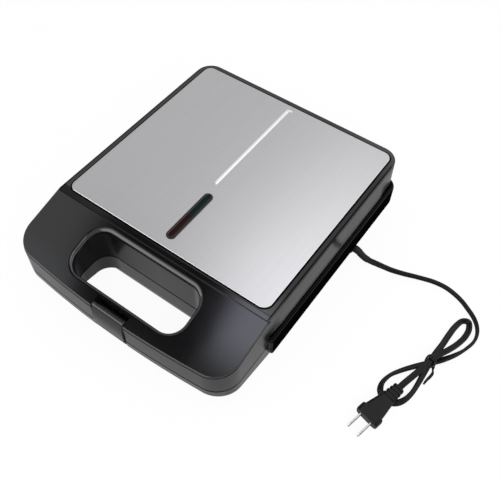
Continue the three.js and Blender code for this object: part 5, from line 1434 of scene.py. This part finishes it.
def stud_tree():
    """A tapered square stud with softened edges on every point."""
    tree, start, end = group_tree("waffle_studs", [
        ("Base", "NodeSocketFloat", 0.004), ("Top", "NodeSocketFloat", 0.0022),
        ("Height", "NodeSocketFloat", 0.0056), ("Sharpness", "NodeSocketFloat", 0.8),
        ("Material", "NodeSocketMaterial", None)])
    cone = node(tree, "GeometryNodeMeshCone")
    cone.inputs["Vertices"].default_value = 4
    for label, socket in (("Base", "Radius Bottom"), ("Top", "Radius Top")):
        tree.links.new(math_node(tree, "MULTIPLY", start.outputs[label], math.sqrt(2)), cone.inputs[socket])
    tree.links.new(start.outputs["Height"], cone.inputs["Depth"])
    square = node(tree, "GeometryNodeTransform")
    square.inputs["Rotation"].default_value = (0, 0, math.pi / 4)
    soft = node(tree, "GeometryNodeSubdivisionSurface")
    soft.inputs["Level"].default_value = 2
    shaded = node(tree, "GeometryNodeSetShadeSmooth")
    tree.links.new(cone.outputs["Mesh"], square.inputs["Geometry"])
    tree.links.new(square.outputs[0], soft.inputs["Mesh"])
    tree.links.new(start.outputs["Sharpness"], soft.inputs["Edge Crease"])
    tree.links.new(soft.outputs[0], shaded.inputs["Geometry"])
    instance_nodes(tree, start, end, shaded.outputs[0])
    return tree


def join_meshes(made, *others):
    bm = bmesh.new()
    bm.from_mesh(made.data)
    for other in others:
        bm.from_mesh(other.data)
        mesh = other.data
        bpy.data.objects.remove(other)
        bpy.data.meshes.remove(mesh)
    bm.to_mesh(made.data)
    bm.free()
    return made


def waffle_plate(name, side, sizes, tree):
    z = lambda height: from_seam(side, height)
    plate = prism(name, rounded_rect(PLATE, PLATE_R), z(0), z(PLATE_SKIN))
    section = CAVITY_MOUTH + [(CAVITY_DRAFT * share, CAVITY_DEPTH - up) for share, up in CAVITY_FOOT]
    pan_depth, pan_inset = CAVITY_DEPTH + CAVITY_FLOOR, CAVITY_DRAFT - PAN_WALL
    pan = [(-PAN_WALL, PLATE_SKIN / 2), (pan_inset, pan_depth - PAN_EDGE), (pan_inset + PAN_EDGE, pan_depth)]
    pans, cavities = [], []
    for index in range(HEARTS):
        for made, label, profile in ((pans, "pan", pan), (cavities, "cavity", section)):
            rings = [at(turned(heart_outline(inset), index), z(depth)) for inset, depth in profile]
            made.append(loft(label, rings))
    combine(plate, "UNION", *pans)
    combine(plate, "DIFFERENCE", *cavities)
    low, high = sorted((z(PLATE_SKIN - SCREW_BITE - GAP), z(PLATE_SKIN + GAP)))
    bores = [rod_z("bore", SCREW_R + GAP, x, y, low, high, 20) for x, y in screw_places()]
    combine(plate, "DIFFERENCE", *bores)
    smooth(plate, 34)
    settle(plate)
    places = []
    for index in range(HEARTS):
        turn = (0 if side < 0 else math.pi, 0, heart_angle(index))
        for x, y in turned(stud_places(sizes.stud_base / MM), index):
            places.append((x, y, z(CAVITY_DEPTH + STUD_SINK), turn))
    base, top = STUD_SPREAD
    studs = scatter(name + "_studs", places, tree, {
        "Base": sizes.stud_base * base, "Top": sizes.stud_top * top,
        "Height": sizes.stud_height + STUD_SINK * MM, "Sharpness": sizes.stud_crease,
        "Material": SURFACES["nonstick"],
    })
    return join_meshes(plate, studs)


# Screws and feet


def screw_places():
    return [(a * POST_X, PLATE_Y + b * POST_Y) for a, b in ((-1, -1), (1, -1), (1, 1), (-1, 1))]


def screw_tree():
    """A screw on every point: a low head with a cross recess, and its shank below."""
    tree, start, end = group_tree("cross_screws", [
        ("Head Radius", "NodeSocketFloat", SCREW_HEAD_R * MM),
        ("Head Height", "NodeSocketFloat", SCREW_HEAD_H * MM),
        ("Shank Radius", "NodeSocketFloat", SCREW_R * MM), ("Length", "NodeSocketFloat", 0.02),
        ("Material", "NodeSocketMaterial", None),
    ])
    head = node(tree, "GeometryNodeMeshCone")
    head.inputs["Vertices"].default_value = 32
    tree.links.new(start.outputs["Head Radius"], head.inputs["Radius Bottom"])
    tapered = math_node(tree, "MULTIPLY", start.outputs["Head Radius"], HEAD_TAPER)
    tree.links.new(tapered, head.inputs["Radius Top"])
    tree.links.new(start.outputs["Head Height"], head.inputs["Depth"])
    cross = node(tree, "GeometryNodeMeshBoolean", operation="DIFFERENCE")
    tree.links.new(head.outputs["Mesh"], cross.inputs[0])
    for turn in (0, math.pi / 2):
        arm = node(tree, "GeometryNodeMeshCube")
        arm.inputs["Size"].default_value = [side * MM for side in CROSS]
        lift = node(tree, "GeometryNodeTransform")
        lift.inputs["Rotation"].default_value = (0, 0, turn)
        place = node(tree, "ShaderNodeCombineXYZ")
        tree.links.new(start.outputs["Head Height"], place.inputs["Z"])
        tree.links.new(place.outputs[0], lift.inputs["Translation"])
        tree.links.new(arm.outputs[0], lift.inputs["Geometry"])
        tree.links.new(lift.outputs[0], cross.inputs[1])
    shank = node(tree, "GeometryNodeMeshCylinder")
    shank.inputs["Vertices"].default_value = 20
    tree.links.new(start.outputs["Shank Radius"], shank.inputs["Radius"])
    tree.links.new(start.outputs["Length"], shank.inputs["Depth"])
    down = node(tree, "GeometryNodeTransform")
    offset = node(tree, "ShaderNodeCombineXYZ")
    tree.links.new(math_node(tree, "MULTIPLY", start.outputs["Length"], -0.5), offset.inputs["Z"])
    tree.links.new(offset.outputs[0], down.inputs["Translation"])
    tree.links.new(shank.outputs["Mesh"], down.inputs["Geometry"])
    both = node(tree, "GeometryNodeJoinGeometry")
    tree.links.new(cross.outputs[0], both.inputs[0])
    tree.links.new(down.outputs[0], both.inputs[0])
    instance_nodes(tree, start, end, both.outputs[0])
    return tree


def screws(name, tree, seat, tip, facing):
    """Four screws whose heads sit on seat and whose shanks end at tip."""
    turn = (0 if facing > 0 else math.pi, 0, SCREW_TURN)
    places = [(x, y, seat, turn) for x, y in screw_places()]
    return scatter(name, places, tree, {
        "Head Radius": SCREW_HEAD_R * MM, "Head Height": (SCREW_HEAD_H - GAP) * MM,
        "Shank Radius": SCREW_R * MM, "Length": abs(seat - tip) * MM, "Material": SURFACES["plated_steel"],
    })


def foot_tree():
    """A round foot on every point, with rings in its sole."""
    tree, start, end = group_tree("ringed_feet", [
        ("Radius", "NodeSocketFloat", FOOT_R * MM), ("Top Radius", "NodeSocketFloat", FOOT_TOP_R * MM),
        ("Height", "NodeSocketFloat", FOOT_H * MM), ("Rings", "NodeSocketInt", 3),
        ("Material", "NodeSocketMaterial", None),
    ])
    body = node(tree, "GeometryNodeMeshCone")
    body.inputs["Vertices"].default_value = 48
    tree.links.new(start.outputs["Radius"], body.inputs["Radius Bottom"])
    tree.links.new(start.outputs["Top Radius"], body.inputs["Radius Top"])
    lifted = math_node(tree, "SUBTRACT", start.outputs["Height"], FOOT_SOLE * MM)
    tree.links.new(lifted, body.inputs["Depth"])
    raise_body = node(tree, "GeometryNodeTransform")
    raise_body.inputs["Translation"].default_value = (0, 0, FOOT_SOLE * MM)
    tree.links.new(body.outputs["Mesh"], raise_body.inputs["Geometry"])
    line = node(tree, "GeometryNodeMeshLine", mode="OFFSET")
    tree.links.new(start.outputs["Rings"], line.inputs["Count"])
    line.inputs["Offset"].default_value = (0, 0, 0)
    ring = node(tree, "GeometryNodeCurvePrimitiveCircle", mode="RADIUS")
    ring.inputs["Resolution"].default_value = 40
    ring.inputs["Radius"].default_value = FOOT_RING_R * MM
    section = node(tree, "GeometryNodeCurvePrimitiveCircle", mode="RADIUS")
    section.inputs["Resolution"].default_value = 8
    section.inputs["Radius"].default_value = FOOT_RING_T * MM
    index = node(tree, "GeometryNodeInputIndex")
    grow = math_node(tree, "ADD", math_node(tree, "MULTIPLY", index.outputs[0], FOOT_RING_STEP), 1.0)
    rings = node(tree, "GeometryNodeInstanceOnPoints")
    flat = node(tree, "ShaderNodeCombineXYZ")
    tree.links.new(grow, flat.inputs["X"])
    tree.links.new(grow, flat.inputs["Y"])
    flat.inputs["Z"].default_value = 1
    tree.links.new(line.outputs[0], rings.inputs["Points"])
    tree.links.new(ring.outputs[0], rings.inputs["Instance"])
    tree.links.new(flat.outputs[0], rings.inputs["Scale"])
    real = node(tree, "GeometryNodeRealizeInstances")
    tube = node(tree, "GeometryNodeCurveToMesh")
    seat = node(tree, "GeometryNodeTransform")
    seat.inputs["Translation"].default_value = (0, 0, FOOT_RING_T * MM)
    tree.links.new(rings.outputs[0], real.inputs[0])
    tree.links.new(real.outputs[0], tube.inputs["Curve"])
    tree.links.new(section.outputs[0], tube.inputs["Profile Curve"])
    tree.links.new(tube.outputs[0], seat.inputs["Geometry"])
    both = node(tree, "GeometryNodeJoinGeometry")
    tree.links.new(raise_body.outputs[0], both.inputs[0])
    tree.links.new(seat.outputs[0], both.inputs[0])
    instance_nodes(tree, start, end, both.outputs[0])
    return tree


# Power cord


def plug_place(point):
    """Moves a point from the plug's own frame: x across, s along it from the cord's end, z up."""
    x, s, z = point
    along = Vector((*PLUG_DIR, -PLUG_TILT)).normalized()
    across = -Vector((-PLUG_DIR[1], PLUG_DIR[0], 0)).normalized()
    up = across.cross(along)
    return tuple(Vector(PLUG_AT) + across * x + along * s + up * z)


def cord_route():
    """The whole route, as even steps of [x, y, z, roll], with its length in millimetres."""
    start = [[EXIT[0] + x, EXIT[1], EXIT[2], 0] for x in CORD_START]
    first, second, third = ([*TIE_AT, z, 0] for z in TIE_Z)
    end = [[*plug_place((0, s, 0)), 0] for s in (-GAP - CORD_END, -GAP)]
    given = [
        *start, *ROUTE_LEAD, first, *ROUTE_LOW_LOOP, second, *ROUTE_HIGH_LOOP, third, *ROUTE_TAIL, *end,
    ]
    path = np.array(curve_through([p[:3] for p in given], ROUTE_STEPS))
    roll = np.interp(np.arange(len(path)) / ROUTE_STEPS, np.arange(len(given)), [p[3] for p in given])
    far = np.concatenate([[0], np.cumsum(np.linalg.norm(np.diff(path, axis=0), axis=1))])
    return np.column_stack([path, roll]), far


def evened(path, far, step):
    goals = np.linspace(0, far[-1], int(math.ceil(far[-1] / step)) + 1)
    return np.column_stack([np.interp(goals, far, path[:, k]) for k in range(path.shape[1])])


def swept(name, route, sections):
    """A closed tube along [x, y, z, roll] points, with one section for each."""
    points = [Vector(p[:3]) for p in route]
    rings = []
    for i, (point, section) in enumerate(zip(points, sections)):
        along = (points[min(i + 1, len(points) - 1)] - points[max(i - 1, 0)]).normalized()
        across = Vector((0, 0, 1)).cross(along).normalized()
        up = along.cross(across)
        turn = route[i][3] * math.pi / 2
        first = across * math.cos(turn) + up * math.sin(turn)
        second = along.cross(first)
        rings.append([tuple(point + first * a + second * b) for a, b in section])
    return loft(name, rings)


def ribbon(name, path, width, thickness):
    """A flat strip along points, whose width starts along the tie's axis and isn't twisted on the way."""
    points = [Vector(p) for p in path]
    wide = Vector((*TIE_AXIS, 0)).normalized()
    start = len(points) // 2
    bounds = (-width / 2, width / 2, -thickness / 2, thickness / 2)
    section = rounded_rect(bounds, thickness * TIE_CORNER, 0, 4)
    rings = [None] * len(points)
    for order in (range(start, len(points)), range(start, -1, -1)):
        side = wide
        for i in order:
            along = (points[min(i + 1, len(points) - 1)] - points[max(i - 1, 0)]).normalized()
            side = (side - along * side.dot(along)).normalized()
            out = along.cross(side)
            rings[i] = [tuple(points[i] + side * a + out * b) for a, b in section]
    return loft(name, rings)


def twin_section(width, thickness, groove):
    """Two round cores side by side with a shallow groove between them on both faces."""
    r = thickness / 2
    lobe = width / 2 - r
    web = r - groove
    right = arc(lobe, 0, r, -100, 100, 12)
    left = arc(-lobe, 0, r, 80, 280, 12)
    inner = lobe * WEB_SHARE
    return [*right, (inner, web), (-inner, web), *left, (-inner, -web), (inner, -web)]


def tie_route():
    """The tie's path: down one tail, twice round the strands in a squared ring and out along the other."""
    axis = Vector((*TIE_AXIS, 0)).normalized()
    across = Vector((axis.y, -axis.x, 0))
    middle = (TIE_Z[0] + TIE_Z[2]) / 2
    high = (TIE_Z[2] - TIE_Z[0] + CORD_T) / 2 + TIE_HALF_T + TIE_SPARE_H
    wide = CORD_W / 2 + TIE_HALF_T + TIE_SPARE_W
    local = lambda a, s, z: tuple(Vector((*TIE_AT, z)) + across * a + axis * s)
    squared = lambda v: math.copysign(math.sqrt(abs(v)), v)
    turns = []
    for i in range(TIE_TURNS * TIE_STEPS + 1):
        angle = 2 * math.pi * i / TIE_STEPS
        a, up = wide * squared(math.cos(angle)), high * squared(math.sin(angle))
        turns.append(local(a, TIE_PITCH * (1 - i / TIE_STEPS), middle + up))
    tails = []
    for shares, start in zip((TIE_UP, TIE_DOWN), TIE_STARTS):
        tails.append([
            local(wide + a * TIE_REACH, start - s * TIE_REACH, TIE_TAIL_LOW + z * middle)
            for a, s, z in shares
        ])
    return curve_through([*tails[0], *turns, *tails[1]], 3)


def power_cord(sizes):
    path, far = cord_route()
    section = twin_section(sizes.width / MM, sizes.thickness / MM, sizes.groove / MM)
    route = evened(path, far, sizes.step / MM)
    cord = smooth(swept("power_cord", route, [section] * len(route)), 60, weighted=False)
    return cord, [tuple(float(c) * MM for c in p[:3]) for p in route], far[-1] * MM


def cord_relief():
    """A slim tapered sleeve that follows the cord out of the round entry bush."""
    path, far = cord_route()
    sleeve = [p for p in evened(path, far, RELIEF_STEP) if p[0] < EXIT[0] + BUSH_REACH]
    last = len(sleeve) - 1
    sections = []
    for i in range(len(sleeve)):
        tip = RELIEF_TIP if i == last else 0
        half_w, half_t = (part_way(i / last, *ends) - tip for ends in (RELIEF_HALF_W, RELIEF_HALF_T))
        sections.append(rounded_rect((-half_w, half_w, -half_t, half_t), half_t * RELIEF_CORNER, 0, 6))
    return smooth(swept("relief", sleeve, sections), 50, weighted=False)


def plug_body(ribs):
    sections = []
    for rib in range(ribs):
        for along, sink in RIB_SECTION:
            share, less = (rib + along) / ribs, sink * RIB_DEPTH
            wide, high = (part_way(share, *ends) - less for ends in (PLUG_RELIEF_W, PLUG_RELIEF_H))
            sections.append((share * PLUG_RELIEF, wide, high, PLUG_RELIEF_CORNER))
    rings = []
    for s, wide, high, corner in sections + PLUG_SECTIONS:
        outline = rounded_rect((-wide / 2, wide / 2, -high / 2, high / 2), high * corner, 0, 8)
        rings.append([(x, s, z) for x, z in outline])
    plug = loft("power_plug", rings, plug_place)
    half, high = BLADE_T / 2 + GAP, BLADE_W / 2 + GAP
    slots = []
    for middle in (-BLADE_SPACING / 2, BLADE_SPACING / 2):
        outline = [(middle + a * half, b * high) for a, b in ((-1, -1), (1, -1), (1, 1), (-1, 1))]
        ends = (PLUG_FACE - BLADE_ROOT - GAP, PLUG_FACE + 1)
        slots.append(loft("slot", [[(x, s, z) for x, z in outline] for s in ends], plug_place))
    combine(plug, "DIFFERENCE", *slots)
    return smooth(plug, 38)


def plug_blade(name, middle):
    """A blade with eased edges, a chamfered tip and a round hole."""
    start, end = PLUG_FACE - BLADE_ROOT, PLUG_FACE + BLADE_L
    tip = BLADE_TIP
    rings = []
    for x, inset in BLADE_SECTION:
        h = BLADE_W / 2 - inset
        outline = [(start, -h), (end - tip - inset, -h), (end - inset, tip - h), (end - inset, h - tip),
                   (end - tip - inset, h), (start, h)]
        rings.append([(middle + x, s, z) for s, z in outline])
    blade = loft(name, rings, plug_place)
    hole = arc(PLUG_FACE + BLADE_HOLE, 0, BLADE_HOLE_R, 0, 360, 24)[:-1]
    drill = loft("drill", [[(middle + x, s, z) for s, z in hole] for x in (-2, 2)], plug_place)
    combine(blade, "DIFFERENCE", drill)
    return smooth(blade, 30)


# Stage


def place_camera():
    """The viewing angle of a product shot: from the right front, well above."""
    right, down = Vector(CAMERA_RIGHT).normalized(), Vector(CAMERA_DOWN)
    ahead = right.cross(-down).normalized() * -1
    up = right.cross(ahead).normalized()
    camera = bpy.data.objects.new("camera", bpy.data.cameras.new("camera"))
    camera.data.lens = CAMERA_LENS
    camera.data.sensor_width = 36
    camera.data.clip_start = 0.01
    matrix = Matrix((right, up, -ahead)).transposed().to_4x4()
    matrix.translation = CAMERA_AT
    camera.matrix_world = matrix
    bpy.context.scene.collection.objects.link(camera)
    bpy.context.scene.camera = camera


def shown_rays(tree):
    """One for camera, glossy and transmission rays, which see the plain white background."""
    path = node(tree, "ShaderNodeLightPath")
    seen = math_node(tree, "MAXIMUM", path.outputs["Is Camera Ray"], path.outputs["Is Glossy Ray"])
    return math_node(tree, "MAXIMUM", seen, path.outputs["Is Transmission Ray"])


def make_room(strength):
    world = bpy.data.worlds.new("room")
    bpy.context.scene.world = world
    world.use_nodes = True
    tree = world.node_tree
    back = tree.nodes["Background"]
    back.inputs["Color"].default_value = (1, 1, 1, 1)
    tree.links.new(ramp(tree, shown_rays(tree), 0, 1, strength, 1.0), back.inputs["Strength"])


def make_floor():
    """White for the camera with a faint shadow, dimmer in reflections, and a real floor for light."""
    corners = [(-FLOOR_HALF, -FLOOR_HALF, 0), (FLOOR_HALF, -FLOOR_HALF, 0), (FLOOR_HALF, FLOOR_HALF, 0),
               (-FLOOR_HALF, FLOOR_HALF, 0)]
    floor = solid("floor", corners, [[0, 1, 2, 3]])
    made = bpy.data.materials.new("floor_white")
    made.use_nodes = True
    tree = made.node_tree
    shader = tree.nodes["Principled BSDF"]
    shader.inputs["Base Color"].default_value = FLOOR_TONE
    shader.inputs["Roughness"].default_value = 0.9
    shader.inputs["Specular IOR Level"].default_value = 0.0
    glossy = node(tree, "ShaderNodeLightPath").outputs["Is Glossy Ray"]
    glow = node(tree, "ShaderNodeEmission")
    tree.links.new(ramp(tree, glossy, 0, 1, *FLOOR_GLOW), glow.inputs["Strength"])
    mix = node(tree, "ShaderNodeMixShader")
    seen = math_node(tree, "MAXIMUM", ramp(tree, shown_rays(tree), 0, 1, 0, FLOOR_SHARE), glossy)
    tree.links.new(seen, mix.inputs[0])
    tree.links.new(shader.outputs[0], mix.inputs[1])
    tree.links.new(glow.outputs[0], mix.inputs[2])
    tree.links.new(mix.outputs[0], tree.nodes["Material Output"].inputs["Surface"])
    floor.data.materials.append(made)


def key_light(energy):
    """A large soft light from the right front, high up, which reflections don't see."""
    light = bpy.data.lights.new("key", "AREA")
    light.shape = "RECTANGLE"
    light.size, light.size_y = KEY_SIZE
    light.energy = energy
    made = bpy.data.objects.new("key", light)
    made.location = KEY_AT
    made.rotation_euler = (Vector(KEY_AIM) - Vector(KEY_AT)).to_track_quat("-Z", "Y").to_euler()
    made.visible_camera = made.visible_glossy = False
    bpy.context.scene.collection.objects.link(made)


def card(name, centre, facing, size, radiance, tone, soft):
    """A panel that only reflections see, as in the list of cards."""
    ahead = Vector(facing).normalized()
    side = Vector((1, 0, 0)) if abs(ahead.z) > 0.99 else ahead.cross(Vector((0, 0, 1))).normalized()
    up = side.cross(ahead)
    corners = [(-0.5, -0.5), (0.5, -0.5), (0.5, 0.5), (-0.5, 0.5)]
    points = [Vector(centre) + side * a * size[0] + up * b * size[1] for a, b in corners]
    made = solid(name, points, [[0, 1, 2, 3]])
    places = made.data.uv_layers.new(name="place").data
    for loop in made.data.loops:
        offset = made.data.vertices[loop.vertex_index].co / MM - Vector(centre)
        places[loop.index].uv = (offset.dot(side) / size[0] + 0.5, offset.dot(up) / size[1] + 0.5)
    paint = bpy.data.materials.new(name)
    paint.use_nodes = True
    tree = paint.node_tree
    tree.nodes.clear()
    split = node(tree, "ShaderNodeSeparateXYZ")
    tree.links.new(node(tree, "ShaderNodeUVMap", uv_map="place").outputs[0], split.inputs[0])
    u, v, _ = split.outputs
    mask = math_node(tree, "MULTIPLY", between(tree, u, 0, 1, soft[0]), between(tree, v, 0, 1, soft[1]))
    glow, clear = node(tree, "ShaderNodeEmission"), node(tree, "ShaderNodeBsdfTransparent")
    glow.inputs["Color"].default_value = (*tone, 1)
    tree.links.new(ramp(tree, v, 0, 1, *radiance), glow.inputs["Strength"])
    mix = node(tree, "ShaderNodeMixShader")
    for socket, value in zip(mix.inputs, (mask, clear.outputs[0], glow.outputs[0])):
        tree.links.new(value, socket)
    tree.links.new(mix.outputs[0], node(tree, "ShaderNodeOutputMaterial").inputs["Surface"])
    made.data.materials.append(paint)
    made.visible_camera = made.visible_diffuse = made.visible_shadow = made.visible_transmission = False


# Operators


class WAFFLE_OT_finishes(bpy.types.Operator):
    """Make the finishes that the pieces share"""
    bl_idname = "waffle.finishes"
    bl_label = "Finishes"

    def execute(self, context):
        make_surfaces(context.scene.waffle_finish)
        return {"FINISHED"}


class WAFFLE_OT_stage(bpy.types.Operator):
    """Set up the camera, the white floor, the room and the lights"""
    bl_idname = "waffle.stage"
    bl_label = "Stage"

    def execute(self, context):
        studio = context.scene.waffle_studio
        place_camera()
        make_room(studio.room)
        make_floor()
        key_light(studio.key)
        for name, centre, facing, size, radiance, tone, soft in CARDS:
            scale = 1 if name == STEADY_CARD else studio.softbox
            card(name, centre, facing, size, [level * scale for level in radiance], tone, soft)
        context.scene.view_settings.view_transform = "Standard"
        return {"FINISHED"}


class WAFFLE_OT_power_cord(bpy.types.Operator):
    """Lay the flat lead with its relief, tie and plug"""
    bl_idname = "waffle.power_cord"
    bl_label = "Power Cord"

    def execute(self, context):
        sizes = context.scene.waffle_cord
        cord, path, long = power_cord(sizes)
        dress(cord, "cord_black", "base", "cord_black", "cord_lead", "cord_bow", "cord_tail")
        tie = ribbon("wire_tie", tie_route(), sizes.tie_width / MM, sizes.tie_thickness / MM)
        smooth(tie, 50, weighted=False)
        dress(tie, "cord_black", "base", "cord_black", "twist_tie")
        plug = dress(plug_body(sizes.ribs), "cord_black", "base", "cord_black", "plug_body")
        for i in range(2):
            blade = plug_blade(f"blade_{i + 1}", (i - 0.5) * BLADE_SPACING)
            dress(blade, "blade_metal", "base", "blade_metal", f"plug_blade_{i + 1}")
        bush = refined("cord_entry", "cord_bush")
        settle(bush)
        join_meshes(bush, cord_relief())
        dress(bush, "rubber", "base", "rubber", "cord_entry")
        return {"FINISHED"}


class WAFFLE_OT_housings(bpy.types.Operator):
    """Build the top cover, the lid's frame and the base"""
    bl_idname = "waffle.housings"
    bl_label = "Housings"

    def execute(self, context):
        cover = top_cover(context.scene.waffle_housing)
        dress(cover, "cover_plastic", "lid", "black_plastic", "lid_top_cover")
        dress(lid_housing(), "black_plastic", "lid", "black_plastic", "lid_frame")
        dress(base_housing(), "black_plastic", "base", "black_plastic", "base_shell")
        return {"FINISHED"}


class WAFFLE_OT_steel_panel(bpy.types.Operator):
    """Build the steel panel with its raised line, and the indicator in it"""
    bl_idname = "waffle.steel_panel"
    bl_label = "Steel Panel"

    def execute(self, context):
        panel = steel_panel(context.scene.waffle_housing)
        dress(panel, "brushed_steel", "lid", "brushed_steel", "steel_panel")
        dress(indicator_ring(), "gloss_black", "lid", "gloss_black", "indicator_bezel")
        dress(indicator_lens("lens_front", False), "red_lens", "lid", "red_lens", "red_lens")
        dress(indicator_lens("lens_back", True), "green_lens", "lid", "green_lens", "green_lens")
        return {"FINISHED"}


class WAFFLE_OT_latch(bpy.types.Operator):
    """Build the latch on the grip's front"""
    bl_idname = "waffle.latch"
    bl_label = "Latch"

    def execute(self, context):
        dress(latch(), "black_plastic", "latch", "black_plastic", "latch_clip")
        return {"FINISHED"}


class WAFFLE_OT_plates(bpy.types.Operator):
    """Build the two baking plates with their hearts and studs"""
    bl_idname = "waffle.plates"
    bl_label = "Baking Plates"

    def execute(self, context):
        tree = stud_tree()
        sizes = context.scene.waffle_plate
        lower = waffle_plate("lower_hearts", -1, sizes, tree)
        dress(lower, "nonstick", "base", "nonstick", "lower_waffle_plate")
        upper = waffle_plate("upper_hearts", 1, sizes, tree)
        dress(upper, "nonstick", "lid", "nonstick", "upper_waffle_plate")
        return {"FINISHED"}


class WAFFLE_OT_fittings(bpy.types.Operator):
    """Add the screws, the feet and the finishes of the inner parts"""
    bl_idname = "waffle.fittings"
    bl_label = "Fittings"

    def execute(self, context):
        tree = screw_tree()
        low_seat = BASE_Z + SCREW_HEAD_H - GAP
        low_tip = SEAM_Z - LAND_GAP / 2 - PLATE_SKIN + SCREW_BITE
        made = screws("base_screws", tree, low_seat, low_tip, -1)
        dress(made, "plated_steel", "base", "plated_steel", *[f"base_screw_{i + 1}" for i in range(4)])
        high_seat = SEAM_Z + LAND_GAP / 2 + PLATE_SKIN + BRACKET_T + 2 * GAP
        high_tip = SEAM_Z + LAND_GAP / 2 + PLATE_SKIN - SCREW_BITE
        made = screws("lid_screws", tree, high_seat, high_tip, 1)
        dress(made, "plated_steel", "lid", "plated_steel", *[f"lid_screw_{i + 1}" for i in range(4)])
        feet = scatter("feet", [(x, y, 0, (0, 0, 0)) for x, y in FOOT_PLACES], foot_tree(), {
            "Radius": FOOT_R * MM, "Top Radius": FOOT_TOP_R * MM, "Height": FOOT_H * MM, "Rings": 3,
            "Material": SURFACES["rubber"]})
        smooth(feet, 40, weighted=False)
        dress(feet, "rubber", "base", "rubber", *[f"foot_{i + 1}" for i in range(4)])
        coat("plated_steel", "hinge_pin_1", "hinge_pin_2", "latch_pin")
        coat("rubber", "lead_sleeve")
        coat("heater_sheath", "lower_heater", "upper_heater")
        coat("aluminium", "lower_reflector", "upper_reflector", "thermal_fuse")
        coat("ceramic", "thermostat", "terminal_block", "lamp_holder")
        coat("lamp_glass", "power_lamp", "ready_lamp")
        return {"FINISHED"}


class WAFFLE_PT_panel(bpy.types.Panel):
    """Settings and steps of the waffle maker"""
    bl_idname = "WAFFLE_PT_panel"
    bl_label = "Waffle Maker"
    bl_space_type = "VIEW_3D"
    bl_region_type = "UI"
    bl_category = "Waffle Maker"

    def draw(self, context):
        layout = self.layout
        for group, steps in PANEL_ROWS:
            box = layout.box()
            for step in steps:
                box.operator(step)
            settings = getattr(context.scene, group)
            for key in settings.__annotations__:
                box.prop(settings, key)


SETTINGS = {
    "waffle_studio": StudioSettings,
    "waffle_finish": FinishSettings,
    "waffle_cord": CordSettings,
    "waffle_housing": HousingSettings,
    "waffle_plate": PlateSettings,
}
PANEL_ROWS = [
    ("waffle_studio", ["waffle.stage"]),
    ("waffle_finish", ["waffle.finishes"]),
    ("waffle_cord", ["waffle.power_cord"]),
    ("waffle_housing", ["waffle.housings", "waffle.steel_panel", "waffle.latch"]),
    ("waffle_plate", ["waffle.plates", "waffle.fittings"]),
]
OPERATORS = [
    WAFFLE_OT_finishes, WAFFLE_OT_stage, WAFFLE_OT_power_cord, WAFFLE_OT_housings, WAFFLE_OT_steel_panel,
    WAFFLE_OT_latch, WAFFLE_OT_plates, WAFFLE_OT_fittings,
]


def register():
    for made in [*SETTINGS.values(), *OPERATORS, WAFFLE_PT_panel]:
        bpy.utils.register_class(made)
    for name, group in SETTINGS.items():
        setattr(bpy.types.Scene, name, PointerProperty(type=group))


def unregister():
    for name in SETTINGS:
        delattr(bpy.types.Scene, name)
    for made in reversed([*SETTINGS.values(), *OPERATORS, WAFFLE_PT_panel]):
        bpy.utils.unregister_class(made)


def main():
    register()
    bpy.ops.waffle.finishes()
    bpy.ops.waffle.stage()
    bpy.ops.waffle.power_cord()
    bpy.ops.waffle.housings()
    bpy.ops.waffle.steel_panel()
    bpy.ops.waffle.latch()
    bpy.ops.waffle.plates()
    bpy.ops.waffle.fittings()


if __name__ == "__main__":
    main()
